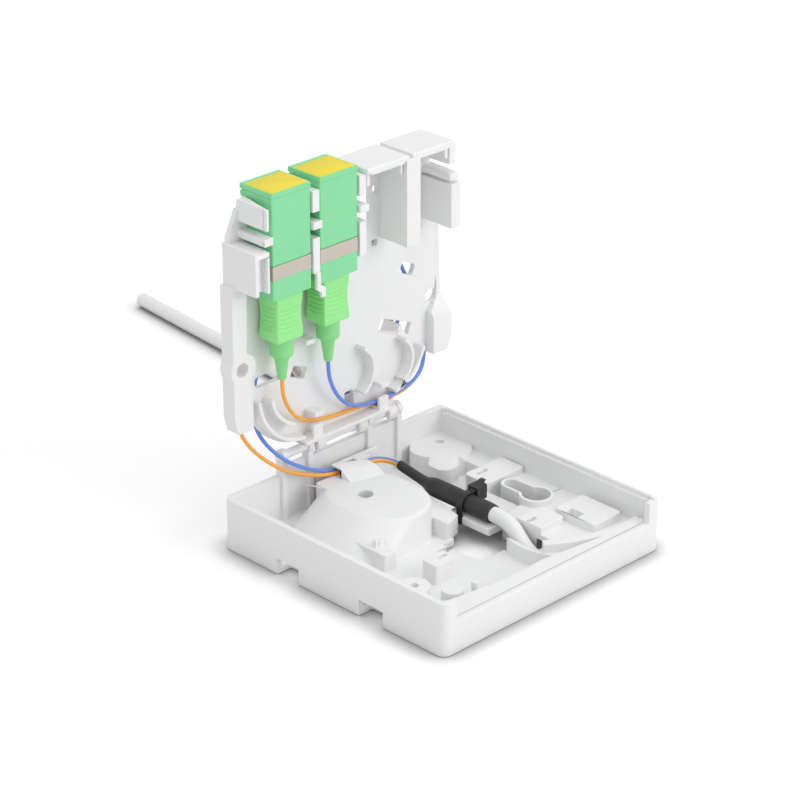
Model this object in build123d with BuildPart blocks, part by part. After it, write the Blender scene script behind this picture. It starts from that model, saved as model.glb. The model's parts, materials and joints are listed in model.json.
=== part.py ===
from build123d import *
import os
from math import cos, pi, radians, sin, tan

# Fibre optic wall outlet, in millimetres.
# The origin is the centre of the back face, which lies on the wall at Z = 0.
# X runs along the outlet side, Y from the outlet side to the hinge side, and Z away from the wall.
# The carrier is modelled swung open, upright on the hinge side.
os.makedirs("parts", exist_ok=True)


# Driving dimensions of the tray
tray_side = 80.0
tray_height = 14.6
tray_corner_r = 2.3
wall_t = 1.8
floor_t = 2.0
lip_step = 0.7
outlet_rim_z = 8.8
corner_post = 4.6
screw_pitch = 60.0
screw_line_y = 2.0
keyhole_x = 28.5
screw_r = 2.1

# Driving dimensions of the adapters and their bays
adapter_width = 13.0
adapter_depth = 9.3
adapter_length = 28.6
bay_pitch = 16.2
bay_play = 0.15
fitted_bays = (0, 1)
free_bays = (2, 3)

# Driving dimensions of the carrier
carrier_face_y = 38.4
carrier_t = 1.6
carrier_half_width = 39.0
carrier_foot_z = 22.9
carrier_top_z = 93.0
flange_depth = 2.9
bay_wall_depth = 10.8
lip_reach = 0.7
lip_t = 1.2
adapter_foot_z = 70.0

# Driving dimensions of the hinge
hinge_y = 38.6
hinge_z = 20.2
hinge_bar_r = 1.2
hinge_play = 0.08
hook_width = 3.0
hook_wall = 1.3
hook_xs = (-8.2, 7.1, 18.2)
post_xs = (-20.6, -11.4, 10.3, 21.4)
post_width = 1.8
post_eye_t = 0.7

# Driving dimensions of the connectors, cable and fibres
grip_width = 9.0
grip_depth = 7.4
grip_foot_z = 57.0
grip_play = 0.15
grip_travel = 1.2
ferrule_r = 1.25
sleeve_t = 0.35
boot_collar_r = 3.1
boot_tip_z = 45.3
fibre_r = 0.45
cable_r = 2.1
shrink_r = 2.6
shrink_tail_r = 1.4

# Worked out from the driving dimensions
half = tray_side / 2
inner = half - wall_t
bay_width = adapter_width + 2 * bay_play
bay_wall_t = bay_pitch - bay_width
bay_xs = [(i - 1.5) * bay_pitch for i in range(4)]
carrier_back_y = carrier_face_y + carrier_t
adapter_front_y = carrier_face_y - adapter_depth
adapter_mid_y = carrier_face_y - adapter_depth / 2
adapter_top_z = adapter_foot_z + adapter_length
bay_wall_front_y = carrier_face_y - bay_wall_depth
root = 0.4
cosmetic_r = 0.4


def at_y(y):
    """Upright plane at one Y: its own x is X and its own y is Z, and it faces the outlet side."""
    return Plane.XZ.offset(-y)


def at_x(x):
    """Upright plane at one X: its own x is Y and its own y is Z, and it faces +X."""
    return Plane.YZ.offset(x)


def pad(centre, size, low, high, corner=0.0, mode=Mode.ADD):
    """Upright block on the tray floor, from one height to another."""
    with BuildSketch(Plane.XY.offset(low), mode=Mode.PRIVATE) as outline:
        with Locations(centre):
            Rectangle(*size) if corner == 0 else RectangleRounded(*size, corner)
    extrude(outline.sketch, amount=high - low, mode=mode)


def stud(centre, radius, low, high, mode=Mode.ADD):
    """Upright cylinder on the tray floor."""
    with BuildSketch(Plane.XY.offset(low), mode=Mode.PRIVATE) as outline:
        with Locations(centre):
            Circle(radius)
    extrude(outline.sketch, amount=high - low, mode=mode)


def panel(centre, size, y_back, y_front, corner=0.0, turn=0.0, mode=Mode.ADD):
    """Block on the carrier plate, between two depths."""
    with BuildSketch(at_y(y_back), mode=Mode.PRIVATE) as outline:
        with Locations(Location((centre[0], centre[1], 0), (0, 0, turn))):
            Rectangle(*size) if corner == 0 else RectangleRounded(*size, corner)
    extrude(outline.sketch, amount=y_back - y_front, mode=mode)


def arc_rib(centre, radius, start, sweep_angle, width, y_back, y_front, mode=Mode.ADD):
    """Curved rib that stands on the carrier plate, with flat ends."""
    with BuildSketch(at_y(y_back), mode=Mode.PRIVATE) as outline:
        with BuildLine():
            outer_arc = CenterArc(centre, radius + width / 2, start, sweep_angle)
            inner_arc = CenterArc(centre, radius - width / 2, start, sweep_angle)
            Line(outer_arc @ 0, inner_arc @ 0)
            Line(outer_arc @ 1, inner_arc @ 1)
        make_face()
    extrude(outline.sketch, amount=y_back - y_front, mode=mode)


# Base tray: shell
keyhole_r = 3.8
keyhole_wall = 0.9
keyhole_top_z = 8.0
keyhole_drop = 8.8
boss_hole_xy = (keyhole_x - screw_pitch, screw_line_y)
boss_r = screw_r + 1.3
boss_top_z = 7.2
notch_height = 4.4
notch_ys = (15.6, -14.6)
notch_widths = (7.8, 8.4)

# Base tray: cable bend under the deck
cable_play = 0.4
cable_lane_x = inner - cable_play - cable_r
turn_r = 12.6
turn_centre = (cable_lane_x - turn_r, -22.2)
turn_left_x = turn_centre[0] - turn_r
deck_top_z = 6.1
deck_t = 1.4
deck_wall = 1.4
lane_half = cable_r + cable_play
deck_r = turn_r + lane_half + deck_wall

# Base tray: bend guide for the fibres
guide_top_z = 11.0
guide_foot = (40.0, 33.0)
guide_foot_centre = (-13.4, 17.2)
guide_foot_r = 15.5
guide_crown = (23.4, 29.6)
guide_crown_centre = (-5.6, 17.8)
guide_crown_r = 11.6
guide_shelf_z = 7.0

# Base tray: small bosses, sill and hinge panel
pilot_boss_z = 7.3
pilot_r = 1.2
pilot_depth = 1.8
sill_top_z = outlet_rim_z - 0.2
hinge_panel_z = 16.8
guide_edge_r = 1.4

# Base tray: seat of the shrink sleeve and its tie
shrink_x = 12.2
tongue_top_z = 5.3
tongue_t = 2.0
tongue_left_x = 8.6
tongue_right_x = 22.5
tongue_y = (-9.0, 6.4)
shrink_z = tongue_top_z + shrink_r
tie_y = 2.6
tie_width = 2.4
tie_t = 1.0
tie_play = 0.1

with BuildPart() as base_tray:
    with BuildSketch():
        RectangleRounded(tray_side, tray_side, tray_corner_r)
    extrude(amount=tray_height)
    with BuildSketch(Plane.XY.offset(floor_t)):
        RectangleRounded(2 * inner, 2 * inner, tray_corner_r - wall_t / 2)
    extrude(amount=tray_height, mode=Mode.SUBTRACT)

    # Step inside the rim on the two sides away from the outlets, where the cover seats
    pad((inner + lip_step / 2, 0), (lip_step, 2 * inner - 2), tray_height - 1.2, tray_height + 1,
        mode=Mode.SUBTRACT)

    # Opening in the floor behind the sleeve, for a cable that comes out of the wall
    with BuildSketch():
        with BuildLine():
            Polyline((-1.0, -14.5), (14.5, -14.5), (14.5, -9.5), (21.0, 0.5), (25.0, 8.0), (24.0, 24.0),
                     (10.5, 24.0), (9.0, 10.0), (3.0, -1.5), (-1.0, -1.5), close=True)
        make_face()
    extrude(amount=floor_t, mode=Mode.SUBTRACT)
    for tooth_x, tooth_y in ((-2.6, -4.0), (-5.8, -7.2)):
        pad((tooth_x, tooth_y), (4.4, 2.4), 0, floor_t, mode=Mode.SUBTRACT)

    # Bend guide: a low dome with a flat crown
    with BuildSketch(Plane.XY.offset(floor_t - root)):
        with Locations(guide_foot_centre):
            RectangleRounded(*guide_foot, guide_foot_r)
    with BuildSketch(Plane.XY.offset(guide_top_z)):
        with Locations(guide_crown_centre):
            RectangleRounded(*guide_crown, guide_crown_r)
    loft()
    crown_face = base_tray.faces().filter_by(Axis.Z).filter_by_position(Axis.Z, guide_top_z - 0.1,
                                                                        guide_top_z + 0.1)[0]
    fillet(crown_face.outer_wire().edges(), guide_edge_r)

    # Shelf beside the bend guide, along the opening in the floor
    with BuildSketch(Plane.XY.offset(floor_t - root)):
        with BuildLine():
            Polyline((1.0, -0.8), (2.5, -0.8), (6.6, 0.6), (7.4, 4.0), (8.8, 9.0), (8.8, 22.0), (1.0, 22.0),
                     close=True)
        make_face()
    extrude(amount=guide_shelf_z - floor_t + root)

    # Deck over the bend of the cable, with its blocks
    stud(turn_centre, deck_r, 0, deck_top_z)
    deck_right = inner + root
    pad(((turn_centre[0] + deck_right) / 2, (-deck_right - 7.0) / 2),
        (deck_right - turn_centre[0], deck_right - 7.0), 0, deck_top_z)
    pad(((12.0 + deck_right) / 2, (-deck_right - 28.0) / 2), (deck_right - 12.0, deck_right - 28.0), 0,
        deck_top_z)
    lane_left = cable_lane_x - lane_half - deck_wall
    pad(((lane_left + deck_right) / 2, 16.0), (deck_right - lane_left, 2 * (deck_right - 16.0)), 0,
        deck_top_z)
    for centre, size, top in (((19.0, -16.8), (10.0, 8.4), 8.2), ((30.8, -23.0), (11.0, 14.0), 8.4),
                              ((30.6, 10.4), (14.6, 8.6), 8.0)):
        pad(centre, size, floor_t, top, corner=1.2)

    # Curved guide wall along the outlet side
    with BuildSketch(Plane.XY.offset(floor_t)):
        with BuildLine():
            ThreePointArc((9.0, -27.2), (22.6, -34.0), (36.6, -35.4))
        trace(line_width=2.6)
    extrude(amount=sill_top_z - floor_t)

    # Sill behind the low rim of the outlet side
    with BuildSketch(Plane.XY.offset(floor_t - root)):
        with BuildLine():
            Polyline((-inner - root, -inner - root), (deck_right, -inner - root), (deck_right, -36.4),
                     (19.2, -35.0), (2.2, -33.0), (-10.9, -33.4), (-26.5, -31.3), (-inner - root, -30.2),
                     close=True)
        make_face()
    extrude(amount=sill_top_z - floor_t + root)

    # Boss in the hinge corner, round towards the middle, with a blind pilot hole
    corner_boss_r = 8.6
    stud((inner - corner_boss_r + 1.2, inner - corner_boss_r + 1.2), corner_boss_r, floor_t, pilot_boss_z)
    pad((inner - 3.4, inner - 3.4), (8.0, 8.0), floor_t, pilot_boss_z)
    pad((26.0, 25.2), (7.6, 8.0), floor_t, 6.4, corner=3.0)

    # Front corner: pilot boss, posts, slotted block, and the box beside the bend guide
    front_pilot = (-28.4, -18.1)
    stud(front_pilot, 4.2, floor_t, pilot_boss_z)
    stud((-22.3, -25.6), 2.9, floor_t, 6.8)
    stud((-17.0, -28.0), 0.8, floor_t, 7.8)
    pad((-14.4, -13.2), (7.6, 5.2), floor_t, 7.6, corner=0.8)
    pad((-20.4, 3.4), (4.4, 10.6), floor_t, 6.8, corner=0.6)
    pad((-20.6, 3.4), (1.2, 1.2), 6.8 - root, 8.8)
    pad((-18.8, 3.4), (3.2, 1.0), 6.8 - root, 7.9)
    stud(boss_hole_xy, boss_r, 0, boss_top_z)
    stud((-34.6, -10.6), 3.0, floor_t, 7.2)
    stud((-34.6, -10.6), 1.9, floor_t, 7.4, mode=Mode.SUBTRACT)

    # Keyhole collar: the screw hangs at its narrow end
    for grow, low, high, mode in ((keyhole_wall, 0, keyhole_top_z, Mode.ADD),
                                  (0, -1, keyhole_top_z + 1, Mode.SUBTRACT)):
        with BuildSketch(Plane.XY.offset(low)):
            with Locations((keyhole_x, screw_line_y - keyhole_drop)):
                Circle(keyhole_r + grow)
            with Locations((keyhole_x, screw_line_y - keyhole_drop / 2)):
                Rectangle(2 * (screw_r + grow), keyhole_drop)
            with Locations((keyhole_x, screw_line_y)):
                Circle(screw_r + grow)
        extrude(amount=high - low, mode=mode)

    # Tongue under the shrink sleeve, slotted for the tie
    tongue_mid = ((tongue_left_x + tongue_right_x) / 2, sum(tongue_y) / 2)
    pad(tongue_mid, (tongue_right_x - tongue_left_x, tongue_y[1] - tongue_y[0]), tongue_top_z - tongue_t,
        tongue_top_z, corner=1.2)
    pad((tongue_right_x, tongue_mid[1]), (3.0, tongue_y[1] - tongue_y[0]), 0, tongue_top_z)
    for side in (-1, 1):
        pad((shrink_x + side * (shrink_r + tie_play + tie_t / 2), tie_y),
            (tie_t + 2 * tie_play, tie_width + 0.4), 0, tongue_top_z + 1, mode=Mode.SUBTRACT)

    # Lane for the cable under the deck, its way in, and its way up
    lane_z = 2 * cable_r + cable_play
    with BuildSketch() as lane:
        with Locations(turn_centre):
            Circle(turn_r + lane_half)
            Circle(turn_r - lane_half, mode=Mode.SUBTRACT)
            Rectangle(4 * turn_r, 2 * turn_r, align=(Align.CENTER, Align.MIN), mode=Mode.SUBTRACT)
        with Locations((cable_lane_x, (half + 1 + turn_centre[1]) / 2)):
            Rectangle(2 * lane_half, half + 1 - turn_centre[1])
    extrude(amount=lane_z, mode=Mode.SUBTRACT)
    pad((turn_left_x + 0.9, -17.2), (2 * lane_half + 1.6, 17.2), 0, deck_top_z + 3.0, mode=Mode.SUBTRACT)
    stud(turn_centre, turn_r - lane_half - deck_wall, 0, deck_top_z - deck_t, mode=Mode.SUBTRACT)

    # Screw hole through the bend guide, and pilot holes
    guide_hole = (-7.6, 20.6)
    stud(guide_hole, screw_r, -1, guide_top_z + 1, mode=Mode.SUBTRACT)
    stud(boss_hole_xy, screw_r, -1, boss_top_z + 1, mode=Mode.SUBTRACT)
    for pilot in ((inner - 4.6, inner - 4.2), front_pilot):
        stud(pilot, pilot_r, pilot_boss_z - pilot_depth, pilot_boss_z + 1, mode=Mode.SUBTRACT)
    for slot_centre, slot_size in (((16.8, -16.0), (3.2, 1.4)), ((27.6, 12.2), (4.0, 1.2)),
                                   ((-13.0, -12.8), (3.0, 1.4)), ((27.0, -21.6), (3.0, 4.6))):
        pad(slot_centre, slot_size, 6.6, 9.0, mode=Mode.SUBTRACT)

    # Cable notches in the bottom edge, and the low rim on the outlet side
    for notch_y, notch_width in zip(notch_ys, notch_widths):
        pad((-half, notch_y), (2 * wall_t + 6.0, notch_width), 0, notch_height, corner=0.9,
            mode=Mode.SUBTRACT)
    pad((0, -half), (2 * (half - corner_post), 2 * wall_t + 0.6), outlet_rim_z, tray_height + 1, corner=1.0,
        mode=Mode.SUBTRACT)

    # Hinge bar on its posts
    for post_x in post_xs:
        with BuildSketch(at_x(post_x - post_width / 2)):
            with Locations((hinge_y, hinge_z)):
                Circle(hinge_bar_r + post_eye_t)
            with Locations((hinge_y, (floor_t + hinge_z) / 2)):
                Rectangle(2 * (hinge_bar_r + 0.2), hinge_z - floor_t)
        extrude(amount=post_width)
    with BuildSketch(at_x(post_xs[0])):
        with Locations((hinge_y, hinge_z)):
            Circle(hinge_bar_r)
    extrude(amount=post_xs[-1] - post_xs[0])

    # Raised panel under the hinge bar
    pad(((post_xs[0] + post_xs[-1]) / 2, half - wall_t / 2), (post_xs[-1] - post_xs[0], wall_t), floor_t,
        hinge_panel_z)

    # Fibre channel behind the bend guide
    pad((-8.6, 31.6), (8.6, 5.6), floor_t, guide_top_z, corner=1.0)
    pad((3.4, 36.0), (16.0, 1.2), floor_t, 12.9)
    pad((4.2, 34.9), (4.6, 3.2), 11.9, 12.9)
base_tray.part.label = "base_tray"


# Carrier: plate outline, side walls and hooks
plate_left_x = -37.0
plate_right_x = 36.4
foot_left_x = -19.5
foot_right_x = 19.0
foot_curve_r = 17.2
box_z = (73.5, 83.0)
finger_z = (85.6, 87.6)
upper_z = (90.0, 95.7)
flange_front_y = carrier_face_y - flange_depth
spool_centre = (6.0, 50.0)
spool_r = 21.7
spool_rib_t = 1.2
spool_depth = 5.6
fibre_lane = 2 * (fibre_r * 2 + 0.3)
side_plate_x = inner - 0.3
side_plate_t = 1.2

with BuildPart() as coupler_carrier:
    # Plate with rounded lower corners
    with BuildSketch(at_y(carrier_back_y)):
        with BuildLine():
            Polyline((foot_left_x + 4.0, carrier_foot_z), (foot_right_x - 4.0, carrier_foot_z))
            ThreePointArc((foot_right_x - 4.0, carrier_foot_z), (27.6, 29.2), (plate_right_x - 1.6, 42.0))
            Polyline((plate_right_x - 1.6, 42.0), (plate_right_x, 56.0), (plate_right_x, 72.0), (33.8, 72.0),
                     (33.8, carrier_top_z), (-33.8, carrier_top_z), (plate_left_x, 86.0),
                     (plate_left_x, 41.5), (-31.6, 41.5))
            ThreePointArc((-31.6, 41.5), (-27.4, 29.4), (foot_left_x + 4.0, carrier_foot_z))
        make_face()
    extrude(amount=carrier_t)

    # Walls of the four bays: a box wall, a finger and an upper wall, each with lips over the adapters
    for wall_index in range(5):
        wall_x = (wall_index - 2) * bay_pitch
        for low, high, lip in ((*box_z, lip_reach), (*finger_z, lip_reach + 0.3), (*upper_z, lip_reach)):
            wall_centre = (wall_x, (low + high) / 2)
            panel(wall_centre, (bay_wall_t, high - low), carrier_face_y + root, bay_wall_front_y)
            panel(wall_centre, (bay_wall_t + 2 * lip, high - low), bay_wall_front_y + lip_t, bay_wall_front_y)

    # Openings in the plate behind the bays, and gaps at the roots of the fingers
    through = (carrier_back_y + 1, carrier_face_y - 1)
    for bay_x in bay_xs:
        panel((bay_x - 1.2, 82.0), (bay_width - 3.6, 13.0), *through, corner=1.2, mode=Mode.SUBTRACT)
        panel((bay_x + bay_width / 2 - 1.1, 85.4), (2.0, 2.2), *through, mode=Mode.SUBTRACT)
        panel((bay_x + bay_width / 2 - 1.4, 70.6), (2.0, 1.8), *through, corner=0.6, mode=Mode.SUBTRACT)

    # Outer side plates beside the outer bays, joined to the bay walls
    for side, front_y in ((-1, bay_wall_front_y), (1, bay_wall_front_y + 4.2)):
        panel((side * (side_plate_x - side_plate_t / 2), 79.2), (side_plate_t, 11.4), carrier_back_y, front_y)
        panel((side * (side_plate_x + bay_pitch * 2) / 2, 79.2), (side_plate_x - bay_pitch * 2, 9.4),
              carrier_face_y + root, carrier_face_y - 1.4)
        panel((side * (side_plate_x + bay_pitch * 2) / 2, 83.9), (side_plate_x - bay_pitch * 2, side_plate_t),
              carrier_face_y + root, front_y)

    # Side flanges, deeper than the plate, with a swell round the side hole
    for side, top_z in ((-1, 74.0), (1, 49.0)):
        with BuildSketch(at_y(carrier_back_y)):
            with BuildLine():
                Polyline((side * 32.6, 45.5), (side * 32.6, 33.2), (side * (carrier_half_width - 1.2), 33.2),
                         (side * carrier_half_width, 37.5), (side * carrier_half_width, top_z),
                         (side * (carrier_half_width - 4.6), top_z),
                         (side * (carrier_half_width - 4.6), 47.0), close=True)
            make_face()
        extrude(amount=carrier_t + flange_depth)
    with BuildSketch(at_y(carrier_back_y)):
        with Locations((-35.6, 50.8)):
            Circle(4.2)
    extrude(amount=carrier_t + flange_depth)

    # Curved ribs that keep the bends of the fibres wide
    rib_front_y = carrier_face_y - 3.6
    for centre, radius, start, turn in (((-14.4, 41.6), 16.6, 185, 82), ((-14.4, 41.6), 12.4, 190, 60),
                                        ((14.0, 42.0), 15.2, 284, 58), ((2.2, 37.0), 7.6, 300, 118),
                                        ((17.0, 35.6), 7.2, 302, 112)):
        arc_rib(centre, radius, start, turn, 1.0, carrier_face_y + root, rib_front_y)

    # Fibre channel along the foot, with tabs that keep the fibres in
    panel((-0.2, carrier_foot_z + 0.5), (31.0, 1.0), carrier_face_y + root, rib_front_y - 0.6)
    for tab_x, tab_z in ((-10.8, 27.4), (13.2, 27.4)):
        panel((tab_x, tab_z - 2.2), (3.4, 4.4), carrier_face_y - 2.6, carrier_face_y - 3.6, corner=0.6)
        panel((tab_x, carrier_foot_z + 1.0), (3.4, 1.0), carrier_face_y + root, carrier_face_y - 3.6)
    for peg_x, peg_z in ((-10.8, 30.6), (13.2, 31.0), (-13.6, 52.0)):
        panel((peg_x, peg_z), (3.2, 1.4), carrier_face_y + root, carrier_face_y - 4.2, corner=0.4)

    # Openings in the plate: a slanted window, a gap over the left ribs, slots and side holes
    panel((20.6, 43.6), (12.6, 4.4), *through, turn=16.0, mode=Mode.SUBTRACT)
    panel((-25.0, 44.0), (9.0, 3.0), *through, corner=1.0, mode=Mode.SUBTRACT)
    for angle in (26.6, 201.0, 264.0):
        slot_x = spool_centre[0] + spool_r * cos(radians(angle))
        slot_z = spool_centre[1] + spool_r * sin(radians(angle))
        panel((slot_x, slot_z), (5.2, 3.2), *through, corner=0.8, turn=-angle, mode=Mode.SUBTRACT)
    for hole_x, hole_z in ((-36.0, 50.8), (34.4, 49.4)):
        panel((hole_x, hole_z), (3.8, 3.8), carrier_back_y + 1, flange_front_y - 1, corner=1.85,
              mode=Mode.SUBTRACT)

    # Spool ribs behind the plate, for the slack of the fibres
    for rib_r, start, turn in ((spool_r - fibre_lane / 2 - spool_rib_t, 20, 320),
                               (spool_r + fibre_lane + 0.6, 215, 70)):
        arc_rib(spool_centre, rib_r, start, turn, spool_rib_t, carrier_back_y + spool_depth,
                carrier_back_y - root)

    # Hooks that snap over the hinge bar
    hook_r = hinge_bar_r + hinge_play + hook_wall
    for hook_x in hook_xs:
        with BuildSketch(at_x(hook_x - hook_width / 2)):
            with Locations((hinge_y, hinge_z)):
                Circle(hook_r)
            with Locations((carrier_face_y + carrier_t / 2, (hinge_z + carrier_foot_z + 1.0) / 2)):
                Rectangle(carrier_t + 1.4, carrier_foot_z + 1.0 - hinge_z)
        extrude(amount=hook_width)
    with BuildSketch(at_x(hook_xs[0] - hook_width)):
        with Locations((hinge_y, hinge_z)):
            Circle(hinge_bar_r + hinge_play)
        with Locations((hinge_y, hinge_z - hook_r)):
            Rectangle(2 * hinge_bar_r - 0.5, 2 * hook_r)
    extrude(amount=hook_xs[-1] - hook_xs[0] + 2 * hook_width, mode=Mode.SUBTRACT)
coupler_carrier.part.label = "coupler_carrier"


# Blanking pieces for the bays without an adapter
blank_t = 1.4
blank_play = 0.1
blank_top_z = upper_z[1] + blank_t
blanks = []
for number, bay_index in enumerate(free_bays, start=3):
    bay_x = bay_xs[bay_index]
    with BuildPart() as port_blank:
        # Cap over the bay
        panel((bay_x, upper_z[1] + blank_t / 2), (bay_width + 1.6, blank_t), carrier_back_y, bay_wall_front_y)
        # Front lip, and two legs that snap between the bay walls
        panel((bay_x, blank_top_z - 2.0), (bay_width - 2 * lip_reach - 2 * blank_play, 4.0),
              bay_wall_front_y + lip_t, bay_wall_front_y)
        for side in (-1, 1):
            panel((bay_x + side * (bay_width / 2 - blank_play - 0.6), blank_top_z - 2.6), (1.2, 5.2),
                  carrier_face_y - 1.0, bay_wall_front_y + lip_t + blank_play)
        fillet(port_blank.edges().filter_by(Axis.X).group_by(Axis.Z)[-1], cosmetic_r)
    port_blank.part.label = f"port_blank_{number}"
    blanks.append(port_blank.part)


# Adapter with its sleeve, metal band, shutter flap, pin and spring
cavity_width = grip_width + 2 * grip_play
cavity_depth = grip_depth + 2 * grip_play
middle_z = adapter_foot_z + 14.2
middle_t = 1.6
band_z = (75.4, 79.5)
band_t = 0.3
holder_r = 2.1
holder_flange_r = 2.9
holder_play = 0.15
sleeve_r = ferrule_r + 0.02 + sleeve_t
sleeve_length = 11.0
flap_t = 1.2
flap_play = 0.15
flap_pin_r = 0.5
knuckle_r = flap_pin_r + 0.6
flap_pin_y = carrier_face_y + knuckle_r + flap_play + 0.05
flap_pin_z = adapter_top_z - flap_t - knuckle_r - flap_play
spring_half = 2.2
ear_t = 1.6
label_t = 0.12

# Connector
body_size = (6.8, 5.2)
body_play = 0.12
body_top_z = middle_z - middle_t / 2 - 0.3
ferrule_tip_z = middle_z - 0.3
ferrule_root_z = ferrule_tip_z - 9.0
boot_bore_r = fibre_r
boot_top_z = grip_foot_z + 1.6
grip_top_z = body_top_z - 2.6
waist = 0.35
rib_pitch = 1.35

fitted_parts = []
for number, bay_index in enumerate(fitted_bays, start=1):
    x = bay_xs[bay_index]

    with BuildPart() as adapter_body:
        body_top = adapter_top_z - flap_t - flap_play
        with BuildSketch(Plane.XY.offset(adapter_foot_z)):
            with Locations((x, adapter_mid_y)):
                Rectangle(adapter_width, adapter_depth)
        extrude(amount=body_top - adapter_foot_z)
        fillet(adapter_body.edges().filter_by(Axis.Z), cosmetic_r)
        # Cavity for the connector from below, and the port for a plug from above
        for low, high in ((adapter_foot_z - 1, middle_z - middle_t / 2),
                          (middle_z + middle_t / 2, body_top + 1)):
            pad((x, adapter_mid_y), (cavity_width, cavity_depth), low, high, mode=Mode.SUBTRACT)
        # Bore for the sleeve holder
        stud((x, adapter_mid_y), holder_r, middle_z - middle_t, middle_z + middle_t, mode=Mode.SUBTRACT)
        # Groove for the metal band
        with BuildSketch(Plane.XY.offset(band_z[0])):
            with Locations((x, adapter_mid_y)):
                Rectangle(adapter_width + 2, adapter_depth + 2)
                Rectangle(adapter_width - 2 * band_t, adapter_depth - 2 * band_t, mode=Mode.SUBTRACT)
        extrude(amount=band_z[1] - band_z[0], mode=Mode.SUBTRACT)
        # Ears for the flap's pin
        for side in (-1, 1):
            ear_x = x + side * (adapter_width / 2 - ear_t / 2)
            with BuildSketch(at_x(ear_x - ear_t / 2)):
                with Locations((flap_pin_y, flap_pin_z)):
                    Circle(knuckle_r)
                with BuildLine():
                    Polyline((carrier_face_y - 0.5, body_top), (flap_pin_y, flap_pin_z + knuckle_r * 0.9),
                             (flap_pin_y + knuckle_r * 0.7, flap_pin_z - knuckle_r * 0.7),
                             (carrier_face_y - 0.5, body_top - 3.0), close=True)
                make_face()
            extrude(amount=ear_t)
        with BuildSketch(at_x(x - adapter_width)):
            with Locations((flap_pin_y, flap_pin_z)):
                Circle(flap_pin_r)
        extrude(amount=2 * adapter_width, mode=Mode.SUBTRACT)
    adapter_body.part.label = f"adapter_body_{number}"
    fitted_parts.append(adapter_body.part)

    with BuildPart() as adapter_clip:
        with BuildSketch(Plane.XY.offset(band_z[0])):
            with Locations((x, adapter_mid_y)):
                Rectangle(adapter_width, adapter_depth)
                Rectangle(adapter_width - 2 * band_t, adapter_depth - 2 * band_t, mode=Mode.SUBTRACT)
        extrude(amount=band_z[1] - band_z[0])
    adapter_clip.part.label = f"adapter_clip_{number}"
    fitted_parts.append(adapter_clip.part)

    with BuildPart() as sleeve_holder:
        holder_half = sleeve_length / 2 + 0.5
        stud((x, adapter_mid_y), holder_r, middle_z - holder_half, middle_z + holder_half)
        stud((x, adapter_mid_y), holder_flange_r, middle_z + middle_t / 2, middle_z + middle_t / 2 + 1.0)
        stud((x, adapter_mid_y), sleeve_r, middle_z - sleeve_length, middle_z + sleeve_length,
             mode=Mode.SUBTRACT)
    sleeve_holder.part.label = f"sleeve_holder_{number}"
    fitted_parts.append(sleeve_holder.part)

    with BuildPart() as alignment_sleeve:
        with BuildSketch(Plane.XY.offset(middle_z - sleeve_length / 2)):
            with Locations((x, adapter_mid_y)):
                Circle(sleeve_r)
                Circle(sleeve_r - sleeve_t, mode=Mode.SUBTRACT)
            with Locations((x, adapter_mid_y + sleeve_r)):
                Rectangle(0.5, 2 * sleeve_t + 1.0, mode=Mode.SUBTRACT)
        extrude(amount=sleeve_length)
    alignment_sleeve.part.label = f"alignment_sleeve_{number}"
    fitted_parts.append(alignment_sleeve.part)

    with BuildPart() as shutter_flap:
        flap_front_y = adapter_front_y - 0.1
        flap_back_y = flap_pin_y + knuckle_r
        pad((x, (flap_front_y + flap_back_y) / 2), (adapter_width + 0.1, flap_back_y - flap_front_y),
            adapter_top_z - flap_t, adapter_top_z)
        knuckle_width = adapter_width - 2 * ear_t - 2 * flap_play
        with BuildSketch(at_x(x - knuckle_width / 2)):
            with Locations((flap_pin_y, flap_pin_z)):
                Circle(knuckle_r)
        extrude(amount=knuckle_width)
        pad((x, flap_pin_y + knuckle_r / 2 - 0.1), (knuckle_width, knuckle_r + 0.2), flap_pin_z,
            adapter_top_z - flap_t + 0.1)
        # Room for the spring in the middle of the knuckle, and the bore for the pin
        with BuildSketch(at_x(x - adapter_width)):
            with Locations((flap_pin_y, flap_pin_z)):
                Circle(flap_pin_r + 0.05)
        extrude(amount=2 * adapter_width, mode=Mode.SUBTRACT)
        pad((x, flap_pin_y), (2 * (spring_half + flap_play), 4 * knuckle_r), flap_pin_z - 2 * knuckle_r,
            adapter_top_z - flap_t, mode=Mode.SUBTRACT)
    shutter_flap.part.label = f"shutter_flap_{number}"
    fitted_parts.append(shutter_flap.part)

    with BuildPart() as shutter_label:
        pad((x, adapter_mid_y - 0.2), (adapter_width - 1.6, adapter_depth - 0.9), adapter_top_z,
            adapter_top_z + label_t)
    shutter_label.part.label = f"shutter_label_{number}"
    fitted_parts.append(shutter_label.part)

    with BuildPart() as shutter_pin:
        with BuildSketch(at_x(x - adapter_width / 2)):
            with Locations((flap_pin_y, flap_pin_z)):
                Circle(flap_pin_r)
        extrude(amount=adapter_width)
    shutter_pin.part.label = f"shutter_pin_{number}"
    fitted_parts.append(shutter_pin.part)

    with BuildPart() as shutter_spring:
        with BuildSketch(at_x(x - spring_half)):
            with Locations((flap_pin_y, flap_pin_z)):
                Circle(knuckle_r - 0.1)
                Circle(flap_pin_r, mode=Mode.SUBTRACT)
        extrude(amount=2 * spring_half)
    shutter_spring.part.label = f"shutter_spring_{number}"
    fitted_parts.append(shutter_spring.part)

    with BuildPart() as connector_body:
        pad((x, adapter_mid_y), body_size, boot_top_z, body_top_z)
        stud((x, adapter_mid_y), ferrule_r, ferrule_root_z, body_top_z + 1, mode=Mode.SUBTRACT)
        stud((x, adapter_mid_y), holder_r + holder_play, middle_z - sleeve_length / 2 - 0.8, body_top_z + 1,
             mode=Mode.SUBTRACT)
    connector_body.part.label = f"connector_body_{number}"
    fitted_parts.append(connector_body.part)

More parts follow.
